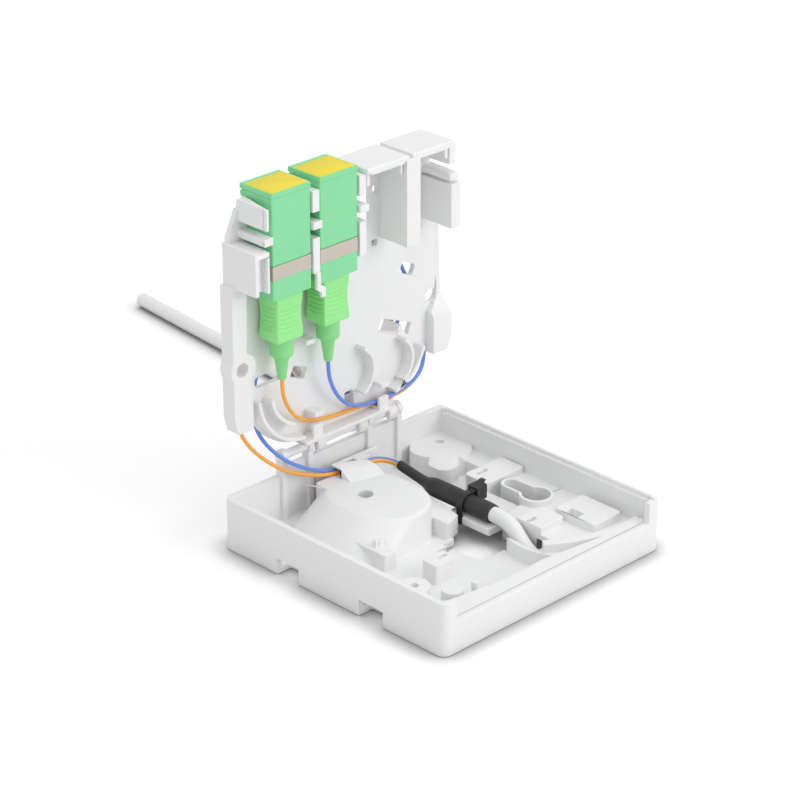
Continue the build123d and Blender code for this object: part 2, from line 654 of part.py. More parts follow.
    with BuildPart() as ferrule:
        stud((x, adapter_mid_y), ferrule_r, ferrule_root_z, ferrule_tip_z)
        chamfer(ferrule.edges().group_by(Axis.Z)[-1], 0.3)
    ferrule.part.label = f"ferrule_{number}"
    fitted_parts.append(ferrule.part)

    with BuildPart() as connector_grip:
        with BuildSketch(Plane.XY.offset(grip_foot_z)):
            with Locations((x, adapter_mid_y)):
                Rectangle(grip_width, grip_depth)
        extrude(amount=grip_top_z - grip_foot_z)
        fillet(connector_grip.edges().filter_by(Axis.Z), cosmetic_r)
        # Finger grooves across the front and back
        for step in range(6):
            groove_z = grip_foot_z + 2.6 + step * rib_pitch
            for side in (-1, 1):
                pad((x, adapter_mid_y + side * grip_depth / 2), (grip_width + 1, 2 * waist), groove_z,
                    groove_z + rib_pitch / 2, mode=Mode.SUBTRACT)
        # Sunken panels on the sides
        for side in (-1, 1):
            pad((x + side * grip_width / 2, adapter_mid_y), (2 * waist, grip_depth - 2.2), grip_foot_z + 1.4,
                adapter_foot_z - 1.6, mode=Mode.SUBTRACT)
        pad((x, adapter_mid_y), (body_size[0] + 2 * body_play, body_size[1] + 2 * body_play),
            grip_foot_z + 1.0, grip_top_z + 1, mode=Mode.SUBTRACT)
        stud((x, adapter_mid_y), boot_collar_r + grip_play, grip_foot_z - 1,
             boot_top_z + grip_travel + grip_play, mode=Mode.SUBTRACT)
    connector_grip.part.label = f"connector_grip_{number}"
    fitted_parts.append(connector_grip.part)

    with BuildPart() as connector_boot:
        with BuildSketch(at_y(adapter_mid_y)):
            with BuildLine():
                Polyline((x + boot_bore_r, boot_top_z), (x + boot_collar_r, boot_top_z),
                         (x + boot_collar_r, 52.6), (x + boot_collar_r - 0.9, 51.6), (x + 1.15, boot_tip_z),
                         (x + boot_bore_r, boot_tip_z), close=True)
            make_face()
        revolve(axis=Axis((x, adapter_mid_y, 0), (0, 0, 1)))
    connector_boot.part.label = f"connector_boot_{number}"
    fitted_parts.append(connector_boot.part)


# Cable tie: a band round the sleeve and the tongue, with its head and the cut end of its tail
with BuildPart() as cable_tie:
    band_half = shrink_r + tie_play
    with BuildSketch(at_y(tie_y + tie_width / 2)):
        for grow, mode in ((tie_t, Mode.ADD), (0, Mode.SUBTRACT)):
            with Locations((shrink_x, shrink_z)):
                Circle(band_half + grow, mode=mode)
            with Locations((shrink_x, (shrink_z + tongue_top_z - tongue_t - tie_play) / 2 - grow / 2)):
                Rectangle(2 * (band_half + grow), shrink_z - tongue_top_z + tongue_t + tie_play + grow,
                          mode=mode)
    extrude(amount=tie_width)
    head_centre = (shrink_x + band_half + 1.2, shrink_z + 2.2)
    panel(head_centre, (4.2, 4.4), tie_y + 2.1, tie_y - 2.1, corner=0.5)
    with BuildSketch(at_y(tie_y + 2.3)):
        with Locations((shrink_x, shrink_z)):
            Circle(band_half)
    extrude(amount=4.6, mode=Mode.SUBTRACT)
    panel((head_centre[0] + 0.9, head_centre[1] + 3.0), (tie_t, 3.2), tie_y + tie_width / 2,
          tie_y - tie_width / 2)
cable_tie.part.label = "cable_tie"


def round_path(points, end_share=0.45):
    """Radius of each bend: a share of the shorter run beside it, over the tangent of half the turn."""
    radii = []
    for a, b, c in zip(points, points[1:], points[2:]):
        before = Vector(*b) - Vector(*a)
        after = Vector(*c) - Vector(*b)
        turn = radians(before.get_angle(after))
        radii.append(end_share * min(before.length, after.length) / tan(turn / 2))
    return radii


def tube(points, radius, name):
    """Plain round tube along straight runs joined by tangent arcs."""
    radii = round_path(points)
    with BuildPart() as piece:
        with BuildLine() as path:
            FilletPolyline(*points, radius=radii)
        with BuildSketch(Plane(origin=path.line @ 0, z_dir=path.line % 0)):
            Circle(radius)
        sweep()
    length = sum(edge.length for edge in path.line.edges())
    share = piece.part.volume / (pi * radius ** 2 * length)
    print(name, "length", round(length, 1), "radii", [round(r, 1) for r in radii], "volume", round(share, 4))
    piece.part.label = name
    return piece.part


cords = []

# Shrink sleeve: thick over the cable's jacket, thin over the fibres
sleeve_thick_y = 15.6
sleeve_thin_y = 18.4
sleeve_end_y = 28.0
sleeve_start_y = -6.8
with BuildPart() as heat_shrink_sleeve:
    with BuildSketch(at_y(sleeve_start_y)):
        with Locations((shrink_x, shrink_z)):
            Circle(shrink_r)
    extrude(amount=-(sleeve_thick_y - sleeve_start_y))
    with BuildSketch(at_y(sleeve_thick_y)):
        with Locations((shrink_x, shrink_z)):
            Circle(shrink_r)
    with BuildSketch(at_y(sleeve_thin_y)):
        with Locations((shrink_x, shrink_z + 0.3)):
            Circle(shrink_tail_r)
    loft()
    with BuildSketch(at_y(sleeve_thin_y)):
        with Locations((shrink_x, shrink_z + 0.3)):
            Circle(shrink_tail_r)
    with BuildSketch(at_y(sleeve_end_y)):
        with Locations((shrink_x, shrink_z + 1.9)):
            Circle(shrink_tail_r)
    loft()
heat_shrink_sleeve.part.label = "heat_shrink_sleeve"

# Cable, from the sleeve through the lane under the deck and out along the wall
lane_centre_z = cable_r
turn_step = 20
vertex_r = turn_r / cos(radians(turn_step / 2))
cable_turn = [(turn_centre[0] + vertex_r * cos(radians(angle)),
               turn_centre[1] + vertex_r * sin(radians(angle)), lane_centre_z)
              for angle in range(190, 351, turn_step)]
cable_points = [
    (shrink_x, sleeve_start_y, shrink_z),
    (shrink_x, -10.4, shrink_z),
    (shrink_x - 0.2, -14.4, 6.5),
    (shrink_x - 0.8, -17.8, 3.9),
    (shrink_x - 1.5, -21.2, 2.4),
    *cable_turn,
    (cable_lane_x + 0.05, -14.0, lane_centre_z),
    (cable_lane_x - 0.05, 4.0, lane_centre_z),
    (cable_lane_x + 0.1, 38.0, lane_centre_z),
    (36.6, 78.0, lane_centre_z),
    (40.6, 116.0, lane_centre_z),
    (43.4, 147.0, lane_centre_z),
    (46.2, 176.0, lane_centre_z),
]
cords.append(tube(cable_points, cable_r, "cable"))

# Fibres: from the boots, along the foot of the carrier, round the spool behind it, over the hinge and
# through the channel behind the bend guide to the sleeve
spool_rise = 2.6
spool_step = 30


def spool_turn(radius, start_y, start, stop):
    """Points of the slack turn behind the plate, one every few degrees, drifting away from the plate."""
    return [(spool_centre[0] + radius * cos(radians(angle)), start_y + spool_rise * (angle - start) / 360,
             spool_centre[1] + radius * sin(radians(angle))) for angle in range(start, stop + 1, spool_step)]


def midpoint(a, b):
    return tuple((p + q) / 2 for p, q in zip(a, b))


blue_spool_r = spool_r + 2 * fibre_r + 0.2
orange_x = bay_xs[fitted_bays[0]]
blue_x = bay_xs[fitted_bays[1]]
fibre_entry_z = shrink_z + 1.9

orange_front = [(orange_x, adapter_mid_y, boot_tip_z), (orange_x, adapter_mid_y, 41.6), (-22.6, 34.6, 38.0),
                (-20.2, 35.4, 34.2), (-16.4, 36.5, 30.2), (-10.4, 37.2, 27.4), (-2.4, 37.5, 26.0),
                (6.6, 37.6, 25.6), (15.6, 37.5, 24.9), (24.0, 37.6, 24.9), (31.0, 38.9, 27.4),
                (35.4, 41.3, 32.2), (34.8, 42.3, 40.4), (31.6, 42.4, 47.2)]
orange_exit = [(-12.8, 45.2, 66.6), (-22.8, 44.4, 60.4), (-30.2, 43.6, 51.6), (-34.4, 42.6, 41.4)]
orange_hinge = [(-33.2, 41.2, 31.0), (-29.8, 39.8, 24.4), (-24.6, 36.4, 19.0), (-18.4, 35.6, 15.2)]
orange_base = [(-10.0, 34.6, 12.0), (-2.2, 33.6, 11.2), (5.0, 33.5, 10.9), (9.4, 33.0, 10.4),
               (shrink_x - 0.5, 31.2, fibre_entry_z), (shrink_x - 0.5, sleeve_end_y, fibre_entry_z)]

blue_front = [(blue_x, adapter_mid_y, boot_tip_z), (blue_x, adapter_mid_y, 41.4), (-6.2, 34.5, 37.2),
              (-3.6, 35.2, 33.0), (0.4, 35.9, 29.0), (5.8, 36.4, 26.6), (12.4, 36.5, 25.8),
              (19.6, 36.4, 26.0), (26.2, 36.7, 27.0), (31.2, 38.2, 29.2), (34.0, 40.7, 32.4),
              (33.8, 41.0, 40.0), (32.0, 41.0, 47.4)]
blue_exit = [(-19.6, 43.8, 52.6), (-25.6, 42.8, 43.4)]
blue_hinge = [(-28.2, 41.2, 32.4), (-26.4, 39.6, 26.0), (-22.4, 36.2, 20.6), (-16.4, 35.6, 16.4)]
blue_base = [(-9.6, 35.1, 13.0), (-2.6, 34.7, 11.4), (4.8, 34.7, 11.0), (10.0, 34.0, 10.5),
             (shrink_x + 0.5, 31.4, fibre_entry_z), (shrink_x + 0.5, sleeve_end_y, fibre_entry_z)]

for colour, front, turn, leave, hinge, base in (
        ("orange", orange_front, spool_turn(spool_r, 42.3, 10, 460), orange_exit, orange_hinge, orange_base),
        ("blue", blue_front, spool_turn(blue_spool_r, 41.0, 10, 490), blue_exit, blue_hinge, blue_base)):
    on_carrier = front + turn + leave
    leaving = midpoint(on_carrier[-1], hinge[0])
    arriving = midpoint(hinge[-1], base[0])
    cords.append(tube(on_carrier + [leaving], fibre_r, f"fibre_{colour}_carrier"))
    cords.append(tube([leaving] + hinge + [arriving], fibre_r, f"fibre_{colour}_hinge"))
    cords.append(tube([arriving] + base, fibre_r, f"fibre_{colour}_base"))

for piece in (base_tray.part, coupler_carrier.part, *blanks, *fitted_parts, cable_tie.part,
              heat_shrink_sleeve.part, *cords):
    export_step(piece, f"parts/{piece.label}.step")
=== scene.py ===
# %% [markdown]
# # A fibre optic wall outlet, opened for splicing
# The object is a flat white tray that is screwed to a wall. A carrier with green adapters swings up on a hinge
# bar, and the fibres of the incoming cable run from a black shrink sleeve, over the hinge, to the plugs.
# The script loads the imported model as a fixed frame, softens its moulded edges, makes the soft and fine pieces
# again in Blender, and gives every piece a procedural material.

# %% Load the frame
import json
from math import cos, pi, radians, sin

import bmesh
import bpy
from mathutils import Matrix, Vector
from mathutils.bvhtree import BVHTree


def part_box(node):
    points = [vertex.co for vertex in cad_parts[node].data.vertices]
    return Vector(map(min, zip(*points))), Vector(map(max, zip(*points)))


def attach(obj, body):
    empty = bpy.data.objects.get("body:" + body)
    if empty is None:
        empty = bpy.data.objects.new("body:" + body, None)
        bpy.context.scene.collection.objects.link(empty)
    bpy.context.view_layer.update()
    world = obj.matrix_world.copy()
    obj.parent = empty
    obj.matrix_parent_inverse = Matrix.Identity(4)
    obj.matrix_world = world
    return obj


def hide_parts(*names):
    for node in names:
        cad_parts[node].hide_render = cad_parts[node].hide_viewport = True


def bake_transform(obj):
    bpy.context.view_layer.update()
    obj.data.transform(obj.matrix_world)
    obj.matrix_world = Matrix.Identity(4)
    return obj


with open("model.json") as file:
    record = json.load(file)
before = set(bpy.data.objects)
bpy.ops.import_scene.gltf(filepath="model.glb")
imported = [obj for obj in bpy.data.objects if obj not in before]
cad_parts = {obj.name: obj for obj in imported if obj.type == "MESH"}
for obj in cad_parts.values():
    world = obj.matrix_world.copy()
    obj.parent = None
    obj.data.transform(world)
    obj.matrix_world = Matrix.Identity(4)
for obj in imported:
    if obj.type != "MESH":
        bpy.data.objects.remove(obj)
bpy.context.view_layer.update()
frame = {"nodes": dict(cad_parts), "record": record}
scene = bpy.context.scene
mm = 0.001


def placed(title, data):
    """A new object with this data, linked to the scene."""
    piece = bpy.data.objects.new(title, data)
    scene.collection.objects.link(piece)
    return piece


print("nodes", len(frame["nodes"]))

# %% [markdown]
# ## The camera first
# The photograph was taken with a long lens, from the corner between the outlet side and the notched side, about
# 25 degrees above the horizon. A long lens keeps the tray's edges nearly parallel, so its place is worked out
# from those edges: the two angles give the camera's back and right directions, and their product gives up.

# %% Camera
camera_rise = 0.444455
camera_turn = -0.780079
camera_place = Vector((-458.676, -448.104, 347.882)) * mm
camera_back = Vector((sin(camera_turn) * cos(camera_rise), -cos(camera_turn) * cos(camera_rise),
                      sin(camera_rise)))
camera_right = Vector((cos(camera_turn), sin(camera_turn), 0.0))
camera_up = camera_back.cross(camera_right)
camera_data = bpy.data.cameras.new("outlet_camera")
camera_data.lens = 126.03
camera_data.sensor_width = 36.0
camera_data.clip_start = 0.05
camera = placed("outlet_camera", camera_data)
turned = Matrix((camera_right, camera_up, camera_back)).transposed().to_4x4()
camera.matrix_world = Matrix.Translation(camera_place) @ turned
scene.camera = camera
print("camera lens", camera_data.lens, "at", [round(v, 3) for v in camera_place])

# %% [markdown]
# ## Shared surface effects
# A moulded plastic part is never perfectly even. The mould leaves a very fine grain, and the plastic's flow gives
# slow, weak changes of gloss and colour. Both come from noise on Object coordinates, which are metres here, so a
# scale of 2500 means grains of about 0.4 mm. A node group holds the effect once, and each material sets its own
# values.

# %% Node group for moulded plastic


def new_group(title, inputs, outputs):
    """A shader node group with these sockets, and its two end nodes."""
    group = bpy.data.node_groups.new(title, "ShaderNodeTree")
    for label, kind, value in inputs:
        socket = group.interface.new_socket(name=label, in_out="INPUT", socket_type=kind)
        socket.default_value = value
    for label, kind in outputs:
        group.interface.new_socket(name=label, in_out="OUTPUT", socket_type=kind)
    entry = group.nodes.new("NodeGroupInput")
    leave = group.nodes.new("NodeGroupOutput")
    return group, entry, leave


def noise_in(tree, scale_from, detail, coordinates):
    """Adds a noise whose scale is a number or comes from a socket."""
    noise = tree.nodes.new("ShaderNodeTexNoise")
    noise.inputs["Detail"].default_value = detail
    tree.links.new(coordinates, noise.inputs["Vector"])
    if isinstance(scale_from, (int, float)):
        noise.inputs["Scale"].default_value = scale_from
    else:
        tree.links.new(scale_from, noise.inputs["Scale"])
    return noise.outputs["Fac"]


def spread(tree, value, low, high):
    """Maps a noise from about 0.3-0.7 to the asked range."""
    node = tree.nodes.new("ShaderNodeMapRange")
    node.inputs["From Min"].default_value = 0.3
    node.inputs["From Max"].default_value = 0.7
    for name, bound in (("To Min", low), ("To Max", high)):
        if isinstance(bound, (int, float)):
            node.inputs[name].default_value = bound
        else:
            tree.links.new(bound, node.inputs[name])
    tree.links.new(value, node.inputs["Value"])
    return node.outputs["Result"]


moulding, moulding_in, moulding_out = new_group(
    "moulding",
    [("Color", "NodeSocketColor", (0.8, 0.8, 0.8, 1.0)), ("Shade", "NodeSocketColor", (0.7, 0.7, 0.7, 1.0)),
     ("Grain Scale", "NodeSocketFloat", 2500.0), ("Grain Depth", "NodeSocketFloat", 0.1),
     ("Roughness Low", "NodeSocketFloat", 0.38), ("Roughness High", "NodeSocketFloat", 0.5)],
    [("Color", "NodeSocketColor"), ("Roughness", "NodeSocketFloat"), ("Normal", "NodeSocketVector")])
place = moulding.nodes.new("ShaderNodeTexCoord").outputs["Object"]
grain = noise_in(moulding, moulding_in.outputs["Grain Scale"], 3.0, place)
flow = noise_in(moulding, 45.0, 2.0, place)
flow_mask = spread(moulding, flow, 0.0, 1.0)
tint = moulding.nodes.new("ShaderNodeMix")
tint.data_type = "RGBA"
moulding.links.new(flow_mask, tint.inputs["Factor"])
moulding.links.new(moulding_in.outputs["Color"], tint.inputs[6])
moulding.links.new(moulding_in.outputs["Shade"], tint.inputs[7])
bump = moulding.nodes.new("ShaderNodeBump")
bump.inputs["Distance"].default_value = 0.04 * mm
moulding.links.new(moulding_in.outputs["Grain Depth"], bump.inputs["Strength"])
moulding.links.new(grain, bump.inputs["Height"])
rough = spread(moulding, flow, moulding_in.outputs["Roughness Low"], moulding_in.outputs["Roughness High"])
moulding.links.new(tint.outputs[2], moulding_out.inputs["Color"])
moulding.links.new(rough, moulding_out.inputs["Roughness"])
moulding.links.new(bump.outputs["Normal"], moulding_out.inputs["Normal"])
print("group", moulding.name, "with", len(moulding.nodes), "nodes")

# %% [markdown]
# ## Plastics
# White housing plastic, three greens, the cable's jacket, the nylon of the tie and the coats of the fibres differ
# in colour, gloss and grain, and share the group. Sub-surface light isn't needed at this size, because the walls
# are thick and the lamps are broad. A fibre's coat is the smoothest, so it gets the lowest roughness.

# %% Plastic materials


def plastic(title, color, shade=0.97, grain_scale=2500.0, grain_depth=0.1, roughness=(0.38, 0.5), coat=0.0):
    """A moulded plastic, which varies between a colour and a slightly darker shade of it."""
    material = bpy.data.materials.new(title)
    material.use_nodes = True
    tree = material.node_tree
    shader = tree.nodes["Principled BSDF"]
    group = tree.nodes.new("ShaderNodeGroup")
    group.node_tree = moulding
    for label, value in (("Color", (*color, 1.0)), ("Shade", (*(channel * shade for channel in color), 1.0)),
                         ("Grain Scale", grain_scale), ("Grain Depth", grain_depth),
                         ("Roughness Low", roughness[0]), ("Roughness High", roughness[1])):
        group.inputs[label].default_value = value
    for output, target in (("Color", "Base Color"), ("Roughness", "Roughness"), ("Normal", "Normal")):
        tree.links.new(group.outputs[output], shader.inputs[target])
    shader.inputs["IOR"].default_value = 1.5
    shader.inputs["Coat Weight"].default_value = coat
    shader.inputs["Coat Roughness"].default_value = 0.2
    material.diffuse_color = (*color, 1.0)
    return material


white_plastic = plastic("white_plastic", (0.86, 0.86, 0.865), shade=0.985)
adapter_green = plastic("adapter_green", (0.25, 0.74, 0.37), shade=0.96, roughness=(0.34, 0.44))
grip_green = plastic("grip_green", (0.33, 0.86, 0.30), shade=0.96, roughness=(0.32, 0.42))
boot_green = plastic("boot_green", (0.27, 0.74, 0.28), shade=0.96, grain_scale=1800.0, roughness=(0.48, 0.6))
inner_green = plastic("inner_green", (0.20, 0.62, 0.32), roughness=(0.4, 0.5))
inner_white = plastic("inner_white", (0.82, 0.82, 0.82), roughness=(0.35, 0.45))
cable_white = plastic("cable_white", (0.84, 0.84, 0.85), shade=0.98, grain_scale=1400.0, roughness=(0.42, 0.55))
tie_black = plastic("tie_black", (0.022, 0.022, 0.025), grain_scale=1800.0, roughness=(0.3, 0.42))
orange_coat = plastic("orange_coat", (0.98, 0.42, 0.055), roughness=(0.24, 0.34), grain_depth=0.04, coat=0.3)
blue_coat = plastic("blue_coat", (0.13, 0.28, 0.78), roughness=(0.24, 0.34), grain_depth=0.04, coat=0.3)
sticker_yellow = plastic("sticker_yellow", (0.87, 0.72, 0.05), roughness=(0.55, 0.65), grain_depth=0.05)
print("plastics", sum(1 for m in bpy.data.materials if m.use_nodes))

# %% [markdown]
# ## Shrink tube, metal and ceramic
# Heat shrink tube is soft and dull, and its surface shows shallow wrinkles from the shrinking. The band round an
# adapter is thin nickel-plated sheet, drawn through rollers, so its fine lines run round it: the noise is
# stretched along the band. Ferrules and alignment sleeves are polished zirconia, which is plain and glossy.

# %% Other materials


def base_material(title, color, roughness, metallic=0.0):
    material = bpy.data.materials.new(title)
    material.use_nodes = True
    shader = material.node_tree.nodes["Principled BSDF"]
    shader.inputs["Base Color"].default_value = (*color, 1.0)
    shader.inputs["Roughness"].default_value = roughness
    shader.inputs["Metallic"].default_value = metallic
    material.diffuse_color = (*color, 1.0)
    return material, material.node_tree, shader


def stretched(tree, size):
    """Object coordinates that are stretched by a factor along each axis."""
    place = tree.nodes.new("ShaderNodeTexCoord").outputs["Object"]
    mapping = tree.nodes.new("ShaderNodeMapping")
    mapping.inputs["Scale"].default_value = size
    tree.links.new(place, mapping.inputs["Vector"])
    return mapping.outputs["Vector"]


def bump_from(tree, shader, height, strength, distance):
    node = tree.nodes.new("ShaderNodeBump")
    node.inputs["Strength"].default_value = strength
    node.inputs["Distance"].default_value = distance
    tree.links.new(height, node.inputs["Height"])
    tree.links.new(node.outputs["Normal"], shader.inputs["Normal"])


shrink_tube, tube_tree, tube_shader = base_material("shrink_tube", (0.03, 0.029, 0.032), 0.55)
wrinkle = noise_in(tube_tree, 420.0, 4.0, stretched(tube_tree, (1.0, 0.45, 1.0)))
bump_from(tube_tree, tube_shader, wrinkle, 0.5, 0.2 * mm)
tube_tree.links.new(spread(tube_tree, wrinkle, 0.46, 0.64), tube_shader.inputs["Roughness"])

band_metal, band_tree, band_shader = base_material("band_metal", (0.66, 0.60, 0.53), 0.4, 1.0)
drawn = noise_in(band_tree, 300.0, 5.0, stretched(band_tree, (0.6, 0.6, 14.0)))
bump_from(band_tree, band_shader, drawn, 0.12, 0.05 * mm)
band_tree.links.new(spread(band_tree, drawn, 0.42, 0.56), band_shader.inputs["Roughness"])

pin_steel, pin_tree, pin_shader = base_material("pin_steel", (0.55, 0.55, 0.56), 0.3, 1.0)
turned_lines = noise_in(pin_tree, 500.0, 3.0, stretched(pin_tree, (8.0, 1.0, 1.0)))
pin_tree.links.new(spread(pin_tree, turned_lines, 0.24, 0.38), pin_shader.inputs["Roughness"])

zirconia, zirconia_tree, zirconia_shader = base_material("zirconia", (0.86, 0.855, 0.83), 0.12)
cloud = noise_in(zirconia_tree, 260.0, 2.0, stretched(zirconia_tree, (1.0, 1.0, 1.0)))
zirconia_tree.links.new(spread(zirconia_tree, cloud, 0.09, 0.16), zirconia_shader.inputs["Roughness"])
print("other finishes:", shrink_tube.name, band_metal.name, pin_steel.name, zirconia.name)

# %% [markdown]
# ## Softened edges
# No moulded edge is sharp: a radius of a few tenths of a millimetre catches the light as a thin bright line. The
# exact solids have sharp edges, so each rigid moulding is copied, its doubled points are merged and a Bevel
# modifier rounds its edges. Where several edges meet in a tight corner, a bevel can throw a point far out, so
# every point that has left the solid's surface is put back on it. Weighted normals then keep the large faces
# flat, and leave the gradient to the narrow rounding. The copy stands for the node, at the same place and size.
#
# A few walls are a little thinner or shorter in the photograph than in the solid. A reshape function takes the
# place of each point in millimetres and gives its new place, and the count of faces that it turned over is
# printed, because it has to be nought.

# %% Helpers for pieces and their surfaces
body_of_node = {node: body for body, nodes in frame["record"]["behaviour"]["bodies"].items() for node in nodes}


def finished(piece, material, body, *nodes):
    """Gives a finished piece its material and its body, and hides the nodes that it stands for."""
    piece.data.materials.clear()
    piece.data.materials.append(material)
    if nodes:
        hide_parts(*nodes)
    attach(piece, body)
    return piece


def baked(source, title):
    """A plain mesh object from an object's evaluated modifiers."""
    graph = bpy.context.evaluated_depsgraph_get()
    mesh = bpy.data.meshes.new_from_object(source.evaluated_get(graph))
    mesh.name = title
    bpy.data.objects.remove(source)
    return placed(title, mesh)


def mesh_from(shape, title):
    """A mesh from a closed shape, with its faces looking outward."""
    bmesh.ops.recalc_face_normals(shape, faces=shape.faces)
    mesh = bpy.data.meshes.new(title)
    shape.to_mesh(mesh)
    shape.free()
    return mesh


def shaded_smooth(mesh):
    mesh.polygons.foreach_set("use_smooth", [True] * len(mesh.polygons))


def with_flat_faces(piece):
    """Weighted normals keep large faces flat beside narrow roundings."""
    flat = piece.modifiers.new("flat_faces", "WEIGHTED_NORMAL")
    flat.weight = 90
    return flat


crease_angle = 50


def piece_from(shape, title, crease=crease_angle):
    """A smooth piece from a closed shape, sharp where faces meet at more than the crease angle."""
    mesh = mesh_from(shape, title)
    shaded_smooth(mesh)
    mesh.set_sharp_from_angle(angle=radians(crease))
    return placed(title, mesh)


def skin(shape, rings, close=False):
    """Joins rings of equal count with faces."""
    pairs = list(zip(rings, rings[1:])) + ([(rings[-1], rings[0])] if close else [])
    for low, high in pairs:
        for i in range(len(low)):
            j = (i + 1) % len(low)
            shape.faces.new((low[i], low[j], high[j], high[i]))


# %% Helper that softens the edges of a moulding
merge_distance = 0.002 * mm
least_area = 0.001 * mm ** 2
edge_angle = 32.0
cut_beyond_x = 31.5


def softened(node, title, material, width, reshape=None, cut_z=None):
    """A copy of a node, reshaped where a function for it is given, with edges rounded by a width in mm.

    A cut at cut_z adds points to the faces beyond cut_beyond_x, so that a reshaping can bend them there.
    """
    mesh = frame["nodes"][node].data.copy()
    shape = bmesh.new()
    shape.from_mesh(mesh)
    bmesh.ops.remove_doubles(shape, verts=shape.verts, dist=merge_distance)
    if cut_z:
        faces = [face for face in shape.faces if min(spot.co.x for spot in face.verts) > cut_beyond_x * mm]
        edges = {edge for face in faces for edge in face.edges}
        vertices = {vertex for face in faces for vertex in face.verts}
        bmesh.ops.bisect_plane(shape, geom=[*vertices, *edges, *faces], plane_co=(0.0, 0.0, cut_z * mm),
                               plane_no=(0.0, 0.0, 1.0))
    if reshape:
        before = [(face, face.normal.copy()) for face in shape.faces]
        for vertex in shape.verts:
            vertex.co = Vector(reshape(*(value / mm for value in vertex.co))) * mm
        shape.normal_update()
        turned_over = sum(face.calc_area() > least_area and face.normal.dot(normal) < 0
                          for face, normal in before)
        print(node, "faces turned over by the reshaping:", turned_over)
        bmesh.ops.remove_doubles(shape, verts=shape.verts, dist=merge_distance)
        bmesh.ops.dissolve_degenerate(shape, dist=merge_distance / 2, edges=shape.edges)
    bmesh.ops.dissolve_limit(shape, angle_limit=radians(1.0), verts=shape.verts, edges=shape.edges)
    bmesh.ops.triangulate(shape, faces=shape.faces, ngon_method="BEAUTY")
    surface = BVHTree.FromBMesh(shape)
    shape.to_mesh(mesh)
    shape.free()
    raw = placed(title + "_raw", mesh)
    bevel = raw.modifiers.new("edges", "BEVEL")
    bevel.width = width * mm
    bevel.segments = 2
    bevel.limit_method = "ANGLE"
    bevel.angle_limit = radians(edge_angle)
    bevel.use_clamp_overlap = False
    bevel.loop_slide = False
    rounded = baked(raw, title + "_round")
    for vertex in rounded.data.vertices:
        spot, _, _, distance = surface.find_nearest(vertex.co)
        if distance > width * mm:
            vertex.co = spot
    shaded_smooth(rounded.data)
    rounded.data.set_sharp_from_angle(angle=radians(crease_angle))
    flat = with_flat_faces(rounded)
    flat.keep_sharp = True
    return finished(baked(rounded, title), material, body_of_node[node], node)


# %% [markdown]
# ## Carrier and tray as the photograph shows them
# The walls between the adapters are thin and end flush with the housings, with a narrow finger half way up. The
# right flange has a soft ramp in place of a square end, and the slanted window leans the other way. In the tray,
# the round boss in the hinge corner narrows to its top.

# %% Reshaping the carrier
adapter_pitch = 16.2
bays_end_x = 36.0
plate_front_y = 38.2
bay_wall_foot_z = 73.0
bay_finger = (85.5, 87.7)
wall_half, finger_half, wall_core = 1.35, 1.75, 0.35
wall_front_y, finger_front_y = 28.9, 28.3
left_wall_x = -2.0 * adapter_pitch + 1
left_wall = (-33.9, -33.1)
left_finger_x, left_finger_front_y = -31.0, 28.4
flange_x, flange_back_y, flange_top_z = 32.0, 36.0, 56.0
ramp_foot_z = 43.6
ramp_top_z = 49.0
ramp_depth = 2.9
ear_from_x, ear_x, ear_foot_z = 38.0, 38.2, 48.0
lower_edge_from_x, lower_edge_x = 38.5, 39.6
corner_reach = 0.06
window = {"centre": (20.6, 43.6), "half": (6.3, 2.2), "turn": 16.0}
window_seen = {"centre": (20.7, 44.2), "half": (6.0, 1.8), "turn": -22.0}


def window_corners(shape):
    """Corners of the slanted window in the plate, as x and z."""
    turn = radians(shape["turn"])
    corners = []
    for side_x, side_z in ((-1, -1), (1, -1), (1, 1), (-1, 1)):
        along, up = side_x * shape["half"][0], side_z * shape["half"][1]
        corners.append((shape["centre"][0] + along * cos(turn) - up * sin(turn),
                        shape["centre"][1] + along * sin(turn) + up * cos(turn)))
    return corners


def seen_carrier(x, y, z):
    """Takes the solid's plain walls to the thin walls, flush fronts and soft ramp of the photograph."""
    if z > bay_wall_foot_z and y < plate_front_y and abs(x) < bays_end_x:
        wall_x = round(x / adapter_pitch) * adapter_pitch
        finger = bay_finger[0] < z < bay_finger[1]
        if wall_x < left_wall_x:
            x = max(left_wall[0], min(left_finger_x if finger else left_wall[1], x))
            y = max(y, left_finger_front_y) if finger else y
        else:
            half = finger_half if finger else wall_half
            x = wall_x + max(wall_core - half, min(half, x - wall_x))
            y = max(y, finger_front_y if finger else wall_front_y)
    if x > flange_x and y < flange_back_y and ramp_foot_z < z < flange_top_z:
        y += ramp_depth * (z - ramp_foot_z) / (ramp_top_z - ramp_foot_z)
    if x > ear_from_x and ear_foot_z < z < flange_top_z:
        x = ear_x
    if x > lower_edge_from_x and z < ear_foot_z:
        x = lower_edge_x
    for old, new in zip(window_corners(window), window_corners(window_seen)):
        if abs(x - old[0]) < corner_reach and abs(z - old[1]) < corner_reach:
            return new[0], y, new[1]
    return x, y, z


print("window turned from", window["turn"], "to", window_seen["turn"], "degrees")

# %% Reshaping the tray
corner_boss = (30.8, 30.8)
corner_boss_r = 8.6
corner_boss_top_z = 7.3
boss_narrowing = 0.36
boss_reach = 0.1


def seen_tray(x, y, z):
    """Slopes the round boss in the hinge corner, which is narrower at its top on the side of the tray's middle."""
    out = Vector((x - corner_boss[0], y - corner_boss[1]))
    if abs(out.length - corner_boss_r) < boss_reach and abs(z - corner_boss_top_z) < boss_reach:
        towards_middle = max(0.0, -(out.x + out.y) / (out.length * 2 ** 0.5))
        out *= 1 - boss_narrowing * towards_middle ** 2
        return corner_boss[0] + out.x, corner_boss[1] + out.y, z
    return x, y, z


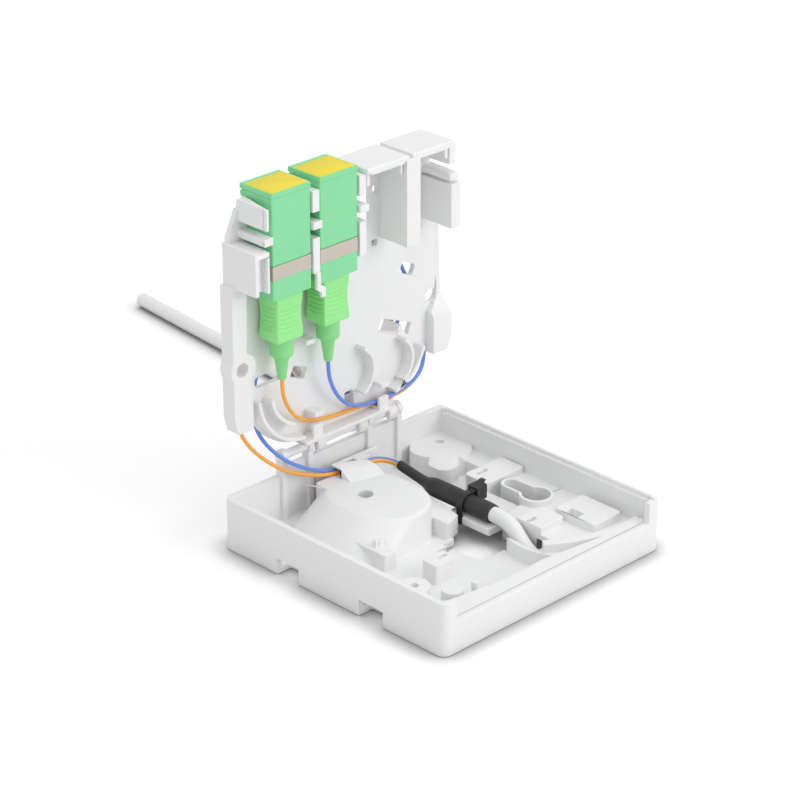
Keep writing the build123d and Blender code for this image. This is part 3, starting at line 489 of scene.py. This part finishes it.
# %% Tray and carrier
tray = softened("base_tray", "tray_moulding", white_plastic, 0.2, reshape=seen_tray)
carrier = softened("coupler_carrier", "carrier_moulding", white_plastic, 0.16, reshape=seen_carrier,
                   cut_z=ramp_foot_z)
print("tray faces", len(tray.data.polygons), "carrier faces", len(carrier.data.polygons))

# %% [markdown]
# ## Small forms of the carrier
# Four small forms of the carrier are added as plain extrusions with bevelled edges, because a bevelled outline is
# the quickest way to a moulded look: the widening of the plate on the right, the smooth walls beside the free
# bays, the back of the box at the left end, and the hooked foot between the adapters.

# %% Extrusion helper and the small forms


def rounded_off(title, *ends, width=0.2):
    """A piece made of shells, each between two rings of points in mm, with rounded edges."""
    shape = bmesh.new()
    for pair in ends:
        rings = [[shape.verts.new(tuple(value * mm for value in spot)) for spot in ring] for ring in pair]
        skin(shape, rings)
        for ring in rings:
            shape.faces.new(ring)
    raw = placed(title + "_raw", mesh_from(shape, title + "_raw"))
    bevel = raw.modifiers.new("edges", "BEVEL")
    bevel.width = width * mm
    bevel.segments = 3
    bevel.limit_method = "ANGLE"
    with_flat_faces(raw)
    shaded_smooth(raw.data)
    return baked(raw, title)


def extruded(title, outlines, axis, width=0.2):
    """A piece made of flat outlines, each with its low and high place along an axis, with rounded edges."""
    ends = [[[(a, level, b) if axis == "Y" else (a, b, level) for a, b in outline] for level in (low, high)]
            for outline, low, high in outlines]
    return rounded_off(title, *ends, width=width)


def box_outline(x0, x1, y0, y1):
    return [(x0, y0), (x1, y0), (x1, y1), (x0, y1)]


def added(small_form, body):
    """A white form that belongs to a body but stands for no node of the solid."""
    finished(small_form, white_plastic, body)
    print(small_form.name, "faces", len(small_form.data.polygons))


plate_edge = [(36.4, 45.0), (37.9, 45.0), (37.9, 51.0), (37.6, 56.0), (37.2, 72.0), (36.0, 72.0), (36.0, 56.0),
              (36.4, 52.0)]
free_wall = [(14.7, 38.6), (14.7, 28.9), (14.5, 28.9), (14.5, 27.5), (19.4, 27.5), (19.4, 28.9), (17.7, 28.9),
             (17.7, 38.6)]
end_wall = [(x + adapter_pitch, y) for x, y in box_outline(14.6, 18.0, 27.5, 38.6)]
hooked_foot = [(-16.9, 73.9), (-15.5, 73.9), (-15.5, 70.4), (-13.9, 69.4), (-13.9, 66.8), (-15.4, 66.8),
               (-15.4, 68.2), (-16.9, 69.2)]
box_back = box_outline(-37.2, -33.2, 29.6, 30.6)
for title, outlines, axis, width in (
        ("plate_widening", [(plate_edge, 38.37, 39.98)], "Y", 0.2),
        ("free_bay_wall", [(free_wall, 71.9, 95.9), (end_wall, 72.6, 84.8)], "Z", 0.3),
        ("box_back", [(box_back, 73.7, 84.0)], "Z", 0.25),
        ("hooked_foot", [(hooked_foot, 27.9, 29.05)], "Y", 0.25)):
    added(extruded(title, outlines, axis, width), "carrier")

# %% [markdown]
# ## Fibre retainer and floor rib of the tray
# A small roof on the edge of the round guide keeps the fibres down where they pass behind it, and a thin rib winds
# along the notched side. The roof is a wedge: one profile at each end, joined by faces. The rib follows a path, so
# its outline is the path moved out to both sides by half its width.

# %% Retainer and rib


def ribbon(path, width):
    """Outline of a rib of even width along a path."""
    left, right = [], []
    for i, spot in enumerate(path):
        ahead = Vector(path[min(i + 1, len(path) - 1)]) - Vector(path[max(i - 1, 0)])
        aside = Vector((-ahead.y, ahead.x)).normalized() * width / 2
        left.append(tuple(Vector(spot) + aside))
        right.append(tuple(Vector(spot) - aside))
    return left + right[::-1]


roof_ends = {-6.0: [(24.0, 8.5), (31.6, 8.5), (31.8, 13.0), (35.9, 13.1), (35.7, 13.8), (32.0, 13.6)],
             4.2: [(20.6, 8.5), (28.1, 8.5), (28.3, 12.1), (32.5, 12.2), (32.3, 12.9), (28.4, 12.7)]}
floor_path = [(-34.5, 5.0), (-31.5, 4.4), (-29.6, 2.6), (-29.4, -0.4), (-31.0, -2.6), (-31.4, -6.0),
              (-30.6, -9.6), (-32.2, -12.2)]
roof_rings = [[(x, y, z) for y, z in profile] for x, profile in roof_ends.items()]
added(rounded_off("fibre_roof", roof_rings, width=0.4), "base")
added(extruded("floor_rib", [(ribbon(floor_path, 0.9), 1.9, 8.0)], "Z", 0.2), "base")

# %% [markdown]
# ## Adapters, flaps and the blanks
# The adapters are plain green housings with a metal band let into a groove. Each has a sprung flap over its
# outlet port. The two bays without an adapter are closed with white caps. The solids already have these forms, so
# they get soft edges only, and three small reshape functions set the lip of the caps, the gap under the flap and
# the dark line above the band. The pieces inside can't be seen, and keep their solids with a fitting material.

# %% Rigid pieces on the carrier
blank_lip_z = 95.1
blank_lip_y = 28.85


def short_lip(x, y, z):
    """The cap's front lip only just turns down over the wall fronts."""
    return x, y, max(z, blank_lip_z) if y < blank_lip_y else z


for number in (3, 4):
    softened(f"port_blank_{number}", f"blank_cap_{number}", white_plastic, 0.3, reshape=short_lip)
adapter_top_z = 98.6
flap_under_z = adapter_top_z - 1.2
flap_drop = 0.11
band_top_z = 79.5
band_drop = 0.28
same_level = 0.02


def close_flap(x, y, z):
    """Brings the underside of the flap down to a hair's breadth above the housing."""
    return x, y, z - flap_drop if abs(z - flap_under_z) < same_level else z


def lower_band(x, y, z):
    """Leaves a fine dark line of groove above the band."""
    return x, y, z - band_drop if abs(z - band_top_z) < same_level else z


for number in (1, 2):
    softened(f"adapter_body_{number}", f"adapter_housing_{number}", adapter_green, 0.12)
    softened(f"shutter_flap_{number}", f"outlet_flap_{number}", adapter_green, 0.08, reshape=close_flap)
    softened(f"adapter_clip_{number}", f"metal_band_{number}", band_metal, 0.04, reshape=lower_band)
plain_nodes = {"sleeve_holder": inner_green, "alignment_sleeve": zirconia, "shutter_pin": adapter_green,
               "connector_body": inner_white, "ferrule": zirconia}
for start, material in plain_nodes.items():
    for number in (1, 2):
        node = frame["nodes"][f"{start}_{number}"]
        node.data.materials.clear()
        node.data.materials.append(material)

# %% [markdown]
# ## Stickers on the flaps
# Each flap carries a plain yellow sticker that covers nearly all of it. A picture on the flap could do it too, but
# a sticker has a thickness that catches light, so it is a thin plate with rounded corners, built of three rings.

# %% Stickers
adapter_mid_y = 33.75
bay_x = {1: -24.3, 2: -8.1}


def rounded_outline(centre, size, corner, steps=6):
    """Points of a rectangle with rounded corners, in turn."""
    points = []
    for turn, (side_x, side_y) in enumerate(((1, 1), (-1, 1), (-1, -1), (1, -1))):
        middle = (centre[0] + side_x * (size[0] / 2 - corner), centre[1] + side_y * (size[1] / 2 - corner))
        for step in range(steps + 1):
            angle = radians(90 * turn + 90 * step / steps)
            points.append((middle[0] + corner * cos(angle), middle[1] + corner * sin(angle)))
    return points


def ring_at(shape, outline, z):
    return [shape.verts.new((x * mm, y * mm, z * mm)) for x, y in outline]


sticker_size = (12.3, 9.9)
sticker_mid_y = 34.35
sticker_corner = 0.5
sticker_levels = ((0.0, adapter_top_z), (0.0, adapter_top_z + 0.08), (0.04, adapter_top_z + 0.11))
for number, x in bay_x.items():
    plate = bmesh.new()
    rings = []
    for inset, z in sticker_levels:
        size = (sticker_size[0] - 2 * inset, sticker_size[1] - 2 * inset)
        rings.append(ring_at(plate, rounded_outline((x, sticker_mid_y), size, sticker_corner), z))
    skin(plate, rings)
    plate.faces.new(rings[-1])
    plate.faces.new(rings[0])
    finished(piece_from(plate, f"yellow_sticker_{number}"), sticker_yellow, f"flap_{number}",
             f"shutter_label_{number}")
print("stickers", sticker_size)

# %% [markdown]
# ## Sliding grips
# A grip is pulled with two fingers, so it has a waist, ribs across the waist, and a wider foot. Its skin is a
# stack of rounded rectangles: at each height a table gives the half width and half depth, and the ribs add a
# little more, with a bow that follows the finger. Ribs as real shape hold up in a close view, where a bump map
# would leave the outline smooth. The inside is a plain square hole, open at both ends.

# %% Grips
grip_levels = ((57.0, 4.15, 3.35), (57.25, 4.42, 3.62), (57.7, 4.5, 3.7), (58.8, 4.5, 3.7), (59.6, 4.42, 3.62),
               (61.0, 4.3, 3.52), (62.6, 4.18, 3.42), (64.0, 4.16, 3.4), (65.4, 4.22, 3.44), (66.8, 4.38, 3.58),
               (67.8, 4.48, 3.68), (68.6, 4.5, 3.7), (80.4, 4.5, 3.7), (80.5, 4.4, 3.6))
rib_heights = [60.2 + 1.2 * i for i in range(6)]
rib_size = 0.3
rib_half = 0.34
rib_end = 0.86
rib_fade = 0.12
bow = 0.3


def grip_half_sizes(z):
    """Half width and half depth of the grip at a height, between the levels of the table."""
    for (z0, w0, d0), (z1, w1, d1) in zip(grip_levels, grip_levels[1:]):
        if z <= z1:
            share = (z - z0) / (z1 - z0)
            return w0 + (w1 - w0) * share, d0 + (d1 - d0) * share
    return grip_levels[-1][1:]


def rib_lift(along, z):
    """Height of the ribs at a place: along runs from -1 to 1 across a face."""
    if abs(along) > rib_end:
        return 0.0
    lift = 0.0
    for height in rib_heights:
        offset = abs(z - height + bow * (1 - along * along) - bow / 2) / rib_half
        if offset < 1:
            lift = max(lift, rib_size * (0.5 + 0.5 * cos(pi * offset)))
    return lift * min(1.0, (rib_end - abs(along)) / rib_fade)


def side_points(half_w, half_d, corner, across=14, steps=5):
    """Points round a rounded rectangle, each with its face's outward direction and its place across it."""
    points = []
    for turn in range(4):
        long_half, out_half = (half_d, half_w) if turn % 2 == 0 else (half_w, half_d)
        facing = radians(90 * turn)
        out = Vector((cos(facing), sin(facing)))
        across_dir = Vector((-sin(facing), cos(facing)))
        for i in range(across + 1):
            along = -1 + 2 * i / across
            points.append((out * out_half + across_dir * along * (long_half - corner), out, along))
        middle = out * (out_half - corner) + across_dir * (long_half - corner)
        for step in range(1, steps):
            angle = facing + radians(90 * step / steps)
            points.append((middle + Vector((cos(angle), sin(angle))) * corner, out, 1.0))
    return points


grip_foot_z, grip_ribbed_z, grip_top_z = 57.0, 69.0, 80.5
ring_step = 0.12
fine_z = [grip_foot_z + ring_step * i for i in range(int((grip_ribbed_z - grip_foot_z) / ring_step) + 1)]
fine_z += [75.0, 80.4, grip_top_z]
grip_corner = 0.55
hole_low = (3.3, 3.25, 1.6)
hole_high = (3.56, 2.76, 0.3)
for number, x in bay_x.items():
    shell = bmesh.new()
    rings = []
    for z in fine_z:
        points = side_points(*grip_half_sizes(z), grip_corner)
        spots = [spot + out * rib_lift(along, z) for spot, out, along in points]
        rings.append(ring_at(shell, [(x + spot.x, adapter_mid_y + spot.y) for spot in spots], z))
    inner = [ring_at(shell, [(x + spot.x, adapter_mid_y + spot.y) for spot, _, _ in side_points(*hole)], z)
             for hole, z in ((hole_low, grip_foot_z + 0.1), (hole_high, grip_top_z - 0.1))]
    skin(shell, [inner[0]] + rings + [inner[1]], close=True)
    finished(piece_from(shell, f"sliding_grip_{number}", 60), grip_green, f"grip_{number}",
             f"connector_grip_{number}")
print("grip rings", len(fine_z))

# %% [markdown]
# ## The cable and the fibres
# A cable lies in smooth curves, so its centre line is a NURBS spline through control points, the same ones that
# the solid tube follows. The spline's order and end points are set after its points exist. A bevel depth on the
# curve makes the round section, and the curve stays a curve for as long as it is a free cable.

# %% Helper for a smooth round cord


def round_cord(title, points, radius, resolution=10):
    curve = bpy.data.curves.new(title, "CURVE")
    curve.dimensions = "3D"
    spline = curve.splines.new("NURBS")
    spline.points.add(len(points) - 1)
    for point, place in zip(spline.points, points):
        point.co = (*(value * mm for value in place), 1.0)
    spline.order_u = 3
    spline.use_endpoint_u = True
    spline.resolution_u = resolution
    curve.bevel_depth = radius * mm
    curve.bevel_resolution = 6
    curve.use_fill_caps = True
    return placed(title, curve)


def line_length(points):
    return sum((Vector(b) - Vector(a)).length for a, b in zip(points, points[1:]))


# %% [markdown]
# ## The incoming cable
# From the shrink sleeve the white cable drops to the floor of the tray, turns back in a lane under the deck at
# the outlet corner, and leaves through the hinge side. It comes along the wall from outside the picture, so its
# far end is simply where the picture of it ends. The turn is a loop of points on a circle.

# %% Cable
cable_r = 2.1
cable_lane_x = 35.7
turn_r = 12.6
turn_centre = (cable_lane_x - turn_r, -22.2)
turn_step = 20
vertex_r = turn_r / cos(radians(turn_step / 2))
cable_turn = [(turn_centre[0] + vertex_r * cos(radians(angle)),
               turn_centre[1] + vertex_r * sin(radians(angle)), cable_r)
              for angle in range(190, 351, turn_step)]
cable_route = [(12.2, -6.8, 7.9), (12.2, -10.4, 7.9), (12.0, -14.4, 6.5), (11.4, -17.8, 3.9), (10.7, -21.2, 2.4),
               *cable_turn, (35.75, -14.0, 2.1), (35.65, 4.0, 2.1), (35.8, 38.0, 2.1), (36.6, 78.0, 2.1),
               (40.6, 116.0, 2.1), (43.4, 147.0, 2.1), (46.2, 176.0, 2.1)]
cable = round_cord("incoming_cable", cable_route, cable_r)
finished(cable, cable_white, "base", "cable")
print("cable control line", round(line_length(cable_route)), "mm")

# %% [markdown]
# ## The fibres
# Each fibre leaves its boot, runs along the foot of the carrier, turns round the spool behind the plate to take up
# its slack, and crosses the hinge to the channel and the sleeve. It is cut into three stretches, because the
# middle one has to bend when the carrier swings.

# %% Fibre routes
fibre_r = 0.53
spool_centre = (6.0, 50.0)
spool_rise = 2.6


def spool_turn(radius, start_y, start, stop, step=30):
    """Points of a rising spiral round the spool, from one angle in degrees to another."""
    return [(spool_centre[0] + radius * cos(radians(angle)), start_y + spool_rise * (angle - start) / 360,
             spool_centre[1] + radius * sin(radians(angle))) for angle in range(start, stop + 1, step)]


def midpoint(a, b):
    return tuple((p + q) / 2 for p, q in zip(a, b))


orange_carrier = [(-24.3, 33.75, 45.3), (-24.3, 33.75, 41.6), (-22.6, 34.6, 38.0), (-20.2, 35.4, 34.2),
                  (-16.4, 36.5, 30.2), (-10.4, 37.2, 27.4), (-2.4, 37.5, 26.0), (6.6, 37.6, 25.6),
                  (15.6, 37.5, 24.9), (24.0, 37.6, 24.9), (31.0, 38.9, 27.4), (35.4, 41.3, 32.2),
                  (34.8, 42.3, 40.4), (31.6, 42.4, 47.2), *spool_turn(21.7, 42.3, 10, 460),
                  (-12.8, 45.2, 66.6), (-22.8, 44.4, 60.4), (-30.2, 43.6, 51.6), (-34.4, 42.6, 41.4)]
orange_hinge = [(-33.2, 41.2, 31.0), (-29.8, 39.8, 24.4), (-24.6, 36.4, 19.0), (-18.4, 35.6, 15.2)]
orange_base = [(-10.0, 34.6, 12.0), (-2.2, 33.6, 11.2), (5.0, 33.5, 10.9), (9.4, 33.0, 10.4),
               (11.7, 31.2, 9.8), (11.7, 28.0, 9.8)]
blue_carrier = [(-8.1, 33.75, 45.3), (-8.1, 33.75, 41.4), (-6.2, 34.5, 37.2), (-3.6, 35.2, 33.0),
                (0.4, 35.9, 29.0), (5.8, 36.4, 26.6), (12.4, 36.5, 25.8), (19.6, 36.4, 26.0), (26.2, 36.7, 27.0),
                (31.2, 38.2, 29.2), (34.0, 40.7, 32.4), (33.8, 41.0, 40.0), (32.0, 41.0, 47.4),
                *spool_turn(22.8, 41.0, 10, 490), (-19.6, 43.8, 52.6), (-25.6, 42.8, 43.4)]
blue_hinge = [(-28.2, 41.2, 32.4), (-26.4, 39.6, 26.0), (-22.4, 36.2, 20.6), (-16.4, 35.6, 16.4)]
blue_base = [(-9.6, 35.1, 13.0), (-2.6, 34.7, 11.4), (4.8, 34.7, 11.0), (10.0, 34.0, 10.5),
             (12.7, 31.4, 9.8), (12.7, 28.0, 9.8)]


def as_mesh(curve_piece):
    """A cord that isn't free becomes a plain smooth mesh."""
    title = curve_piece.name
    curve_piece.name = title + "_line"
    piece = baked(curve_piece, title)
    shaded_smooth(piece.data)
    return piece


for colour, coat, on_carrier, over_hinge, in_base in (
        ("orange", orange_coat, orange_carrier, orange_hinge, orange_base),
        ("blue", blue_coat, blue_carrier, blue_hinge, blue_base)):
    leaving = midpoint(on_carrier[-1], over_hinge[0])
    arriving = midpoint(over_hinge[-1], in_base[0])
    stretches = (("carrier", on_carrier + [leaving], "carrier"),
                 ("hinge", [leaving] + over_hinge + [arriving], None), ("base", [arriving] + in_base, "base"))
    for title, route, body in stretches:
        fibre = as_mesh(round_cord(f"{colour}_fibre_{title}", route, fibre_r, 8))
        node = f"fibre_{colour}_{title}"
        if body:
            finished(fibre, coat, body, node)
        else:
            fibre.data.materials.append(coat)
            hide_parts(node)
            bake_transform(fibre)
        print(fibre.name, "faces", len(fibre.data.polygons))

# %% [markdown]
# ## Boots
# A boot is a soft rubber cone that keeps the fibre from kinking. A Screw modifier could make it, but a loop over a
# short profile of radius and height is as short, and leaves a closed mesh at once: a cone, a neck and a rounded
# collar, spun round the fibre.

# %% Boots


def turned_piece(title, centre, profile, steps=48):
    """Spins a closed profile of (radius, z) round an upright axis."""
    shape = bmesh.new()
    angles = [2 * pi * i / steps for i in range(steps)]
    rings = [ring_at(shape, [(centre[0] + radius * cos(angle), centre[1] + radius * sin(angle))
                             for angle in angles], z) for radius, z in profile]
    skin(shape, rings)
    shape.faces.new(reversed(rings[0]))
    shape.faces.new(rings[-1])
    return piece_from(shape, title)


boot_profile = [(0.46, 45.3), (0.95, 45.3), (1.12, 45.45), (1.22, 46.0), (1.42, 47.6), (1.62, 49.2), (1.84, 50.6),
                (2.0, 51.3), (2.12, 51.7), (2.6, 51.9), (2.95, 52.15), (3.08, 52.6), (3.1, 53.2), (3.1, 56.6),
                (3.1, 58.4), (3.0, 58.6)]
for number, x in bay_x.items():
    boot = turned_piece(f"bend_boot_{number}", (x, adapter_mid_y), boot_profile)
    finished(boot, boot_green, "carrier", f"connector_boot_{number}")
print("boot rings", len(boot_profile))

# %% [markdown]
# ## The shrink sleeve
# Shrunk tube follows what is inside it: thick over the cable's jacket, a soft step, and thin over the fibres.
# Rings of points follow a centre line that rises a little, each with its own radius, and a slow wobble of the
# radius gives the uneven look of shrunk tube. Subdivision then rounds the steps between the rings.

# %% Shrink sleeve
sleeve_x = 12.2
sleeve_z = 7.9
sleeve_line = [(-6.8, sleeve_z, 2.45), (-6.5, sleeve_z, 2.6), (-3.0, sleeve_z, 2.6), (0.0, sleeve_z, 2.56),
               (2.6, sleeve_z, 2.5), (5.5, sleeve_z, 2.57), (9.0, sleeve_z, 2.6), (13.0, sleeve_z, 2.58),
               (15.2, 7.93, 2.5), (16.2, 8.0, 2.15), (17.2, 8.1, 1.72), (18.4, 8.2, 1.44), (20.5, 8.55, 1.38),
               (23.5, 9.05, 1.38), (26.2, 9.5, 1.36), (27.8, 9.78, 1.34), (28.0, 9.8, 1.2)]


def sleeve_piece(title, x, stations, steps=40):
    """A tube through stations of (y, z, radius), with a slow wobble of its radius."""
    shape = bmesh.new()
    rings = []
    for y, z, radius in stations:
        ring = []
        for i in range(steps):
            angle = 2 * pi * i / steps
            uneven = 1 + 0.012 * sin(3 * angle + 0.6 * y) + 0.008 * sin(5 * angle - 0.9 * y)
            ring.append(shape.verts.new(((x + radius * uneven * cos(angle)) * mm, y * mm,
                                         (z + radius * uneven * sin(angle)) * mm)))
        rings.append(ring)
    skin(shape, rings)
    shape.faces.new(rings[0])
    shape.faces.new(rings[-1])
    raw = placed(title + "_raw", mesh_from(shape, title + "_raw"))
    smooth = raw.modifiers.new("smooth", "SUBSURF")
    smooth.levels = smooth.render_levels = 2
    piece = baked(raw, title)
    shaded_smooth(piece.data)
    return piece


sleeve = finished(sleeve_piece("shrink_sleeve", sleeve_x, sleeve_line), shrink_tube, "base",
                  "heat_shrink_sleeve")
print("sleeve faces", len(sleeve.data.polygons))

# %% [markdown]
# ## The cable tie
# The tie goes round the sleeve and through slots in the tongue. Its head is a small block, and the tail is cut off
# just above it, so only a short lug is left. The solid's strap and head are a little large, and a reshape function
# makes them thinner, narrower and smaller.

# %% Cable tie
tie_mid_y = 2.6
lug_foot_z, lug_top_z = 12.6, 12.7
lug_shift = 0.9
head_half, head_end_x, head_top_z = 1.5, 17.7, 11.8
strap_end_x = 13.9
strap_r, strap_outer_r = 3.25, 3.4
strap_low_z, strap_bottom_z = 2.5, 2.65
upper_half = -0.01
lug_share, head_share, strap_share = 0.75, 0.84, 0.78


def seen_tie(x, y, z):
    """A thinner and narrower strap, a smaller head and a short lug for the tail."""
    out, up, along = x - sleeve_x, z - sleeve_z, y - tie_mid_y
    if z > lug_foot_z:
        return x + lug_shift, tie_mid_y + lug_share * along, lug_top_z
    if abs(along) > head_half:
        return min(x, head_end_x), tie_mid_y + head_share * along, min(z, head_top_z)
    reach = Vector((out, up)).length
    if up > upper_half and reach > strap_outer_r and x < strap_end_x:
        out, up = out * strap_r / reach, up * strap_r / reach
    elif up < 0 and abs(out) > strap_outer_r:
        out = max(-strap_r, min(strap_r, out))
    if z < strap_low_z:
        up = strap_bottom_z - sleeve_z
    return sleeve_x + out, tie_mid_y + strap_share * along, sleeve_z + up


tie = softened("cable_tie", "cable_tie_strap", tie_black, 0.1, reshape=seen_tie)
print("tie faces", len(tie.data.polygons))

# %% [markdown]
# ## Springs of the flaps
# A thin wire spring sits round each pin and pushes the flap shut. Its turns follow a rule, so Geometry Nodes make
# it: a spiral curve with named inputs for the radius, the length and the number of turns, swept with a small
# circle, then realized and given its material.

# %% Spring tree


def tree_input(tree, label, kind, value):
    """A named input of a node tree, given back as the key that a modifier sets it by."""
    socket = tree.interface.new_socket(name=label, in_out="INPUT", socket_type=kind)
    if value is not None:
        socket.default_value = value
    return socket.identifier


spring_tree = bpy.data.node_groups.new("spring_wire", "GeometryNodeTree")
spring_ids = {label: tree_input(spring_tree, label, kind, value) for label, kind, value in (
    ("Coil Radius", "NodeSocketFloat", 0.0008), ("Length", "NodeSocketFloat", 0.0042),
    ("Turns", "NodeSocketFloat", 9.0), ("Wire Radius", "NodeSocketFloat", 0.00016),
    ("Finish", "NodeSocketMaterial", None))}
spring_tree.interface.new_socket(name="Geometry", in_out="OUTPUT", socket_type="NodeSocketGeometry")
entry = spring_tree.nodes.new("NodeGroupInput")
leave = spring_tree.nodes.new("NodeGroupOutput")
spiral = spring_tree.nodes.new("GeometryNodeCurveSpiral")
spiral.inputs["Resolution"].default_value = 18
wire = spring_tree.nodes.new("GeometryNodeCurvePrimitiveCircle")
wire.inputs["Resolution"].default_value = 8
sweep = spring_tree.nodes.new("GeometryNodeCurveToMesh")
sweep.inputs["Fill Caps"].default_value = True
realize = spring_tree.nodes.new("GeometryNodeRealizeInstances")
paint = spring_tree.nodes.new("GeometryNodeSetMaterial")
for source, output, target, socket in (
        (entry, "Coil Radius", spiral, "Start Radius"), (entry, "Coil Radius", spiral, "End Radius"),
        (entry, "Length", spiral, "Height"), (entry, "Turns", spiral, "Rotations"),
        (entry, "Wire Radius", wire, "Radius"), (spiral, "Curve", sweep, "Curve"),
        (wire, "Curve", sweep, "Profile Curve"), (sweep, "Mesh", realize, "Geometry"),
        (realize, "Geometry", paint, "Geometry"), (entry, "Finish", paint, "Material"),
        (paint, "Geometry", leave, "Geometry")):
    spring_tree.links.new(source.outputs[output], target.inputs[socket])
print("spring tree inputs", list(spring_ids))

# %% Springs
end_gap = 0.2 * mm
upright_to_x = Matrix.Rotation(radians(90), 4, "Y")
for number in bay_x:
    low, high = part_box(f"shutter_spring_{number}")
    raw = placed("spring_raw", bpy.data.meshes.new("spring_raw"))
    modifier = raw.modifiers.new("spring", "NODES")
    modifier.node_group = spring_tree
    modifier[spring_ids["Length"]] = high[0] - low[0] - 2 * end_gap
    modifier[spring_ids["Finish"]] = pin_steel
    spring = baked(raw, f"flap_spring_{number}")
    start = Vector((low[0] + end_gap, (low[1] + high[1]) / 2, (low[2] + high[2]) / 2))
    spring.data.transform(Matrix.Translation(start) @ upright_to_x)
    shaded_smooth(spring.data)
    finished(spring, pin_steel, "carrier", f"shutter_spring_{number}")
    print(spring.name, "length", round((high[0] - low[0] - 2 * end_gap) / mm, 2), "mm")

# %% [markdown]
# ## Floor and light
# The picture is high-key: a white ground, a soft grey shadow close to the tray, and broad, even light. The floor
# is pale, and only for the camera it gets a little light of its own, so that it reads as white away from the
# shadow. An Ambient Occlusion node darkens both within a few millimetres of the tray. One large lamp hangs above,
# one stands on the outlet side, and a weak one fills the notched side.

# %% Floor
floor_mesh = bpy.data.meshes.new("floor")
floor_half = 4.0
floor_z = -0.1 * mm
floor_corners = [(x, y, floor_z) for x, y in box_outline(-floor_half, floor_half, -floor_half, floor_half)]
floor_mesh.from_pydata(floor_corners, [], [(0, 1, 2, 3)])
floor = placed("floor", floor_mesh)
floor_paint = bpy.data.materials.new("floor_paint")
floor_paint.use_nodes = True
tree = floor_paint.node_tree
shader = tree.nodes["Principled BSDF"]
shader.inputs["Roughness"].default_value = 0.9
shader.inputs["Specular IOR Level"].default_value = 0.0
rays = tree.nodes.new("ShaderNodeLightPath")
glow = tree.nodes.new("ShaderNodeMath")
glow.operation = "MULTIPLY"
glow.inputs[1].default_value = 0.22
tree.links.new(rays.outputs["Is Camera Ray"], glow.inputs[0])
shader.inputs["Emission Color"].default_value = (1.0, 1.0, 1.0, 1.0)
# Painted shade: the Ambient Occlusion node darkens the floor's colour and its camera glow near the tray.
near = tree.nodes.new("ShaderNodeAmbientOcclusion")
near.inputs["Distance"].default_value = 7 * mm
painted_contact_shade = tree.nodes.new("ShaderNodeMapRange")
for label, bound in (("From Min", 0.45), ("From Max", 0.98), ("To Min", 0.3), ("To Max", 0.86)):
    painted_contact_shade.inputs[label].default_value = bound
tree.links.new(near.outputs["AO"], painted_contact_shade.inputs["Value"])
tree.links.new(painted_contact_shade.outputs["Result"], shader.inputs["Base Color"])
darker_glow = tree.nodes.new("ShaderNodeMath")
darker_glow.operation = "MULTIPLY"
tree.links.new(glow.outputs[0], darker_glow.inputs[0])
tree.links.new(near.outputs["AO"], darker_glow.inputs[1])
tree.links.new(darker_glow.outputs[0], shader.inputs["Emission Strength"])
floor_mesh.materials.append(floor_paint)
print("floor nodes", len(tree.nodes))

# %% World
world = bpy.data.worlds.new("studio")
scene.world = world
world.use_nodes = True
sky = world.node_tree.nodes["Background"]
sky.inputs["Color"].default_value = (1.0, 1.0, 1.0, 1.0)
sky_rays = world.node_tree.nodes.new("ShaderNodeLightPath")
sky_level = world.node_tree.nodes.new("ShaderNodeMapRange")
sky_level.inputs["To Min"].default_value = 0.70
sky_level.inputs["To Max"].default_value = 1.0
world.node_tree.links.new(sky_rays.outputs["Is Camera Ray"], sky_level.inputs["Value"])
world.node_tree.links.new(sky_level.outputs["Result"], sky.inputs["Strength"])
print("world strength for light", sky_level.inputs["To Min"].default_value)

# %% Lamps


def soft_lamp(title, place, target, size, power):
    """A square area lamp that looks at a target."""
    data = bpy.data.lights.new(title, "AREA")
    data.shape = "SQUARE"
    data.size = size
    data.energy = power
    lamp = placed(title, data)
    lamp.location = place
    aim = Vector(target) - Vector(place)
    lamp.rotation_euler = aim.to_track_quat("-Z", "Y").to_euler()


middle = (0.0, 0.0, 0.04)
soft_lamp("top_lamp", (0.1, -0.1, 1.2), middle, 0.9, 3.3)
soft_lamp("outlet_side_lamp", (0.5, -1.1, 0.6), middle, 0.8, 5.4)
soft_lamp("notch_side_lamp", (-1.2, 0.1, 0.5), middle, 0.8, 0.7)
scene.view_settings.view_transform = "Standard"

# %% The end
bpy.context.view_layer.update()
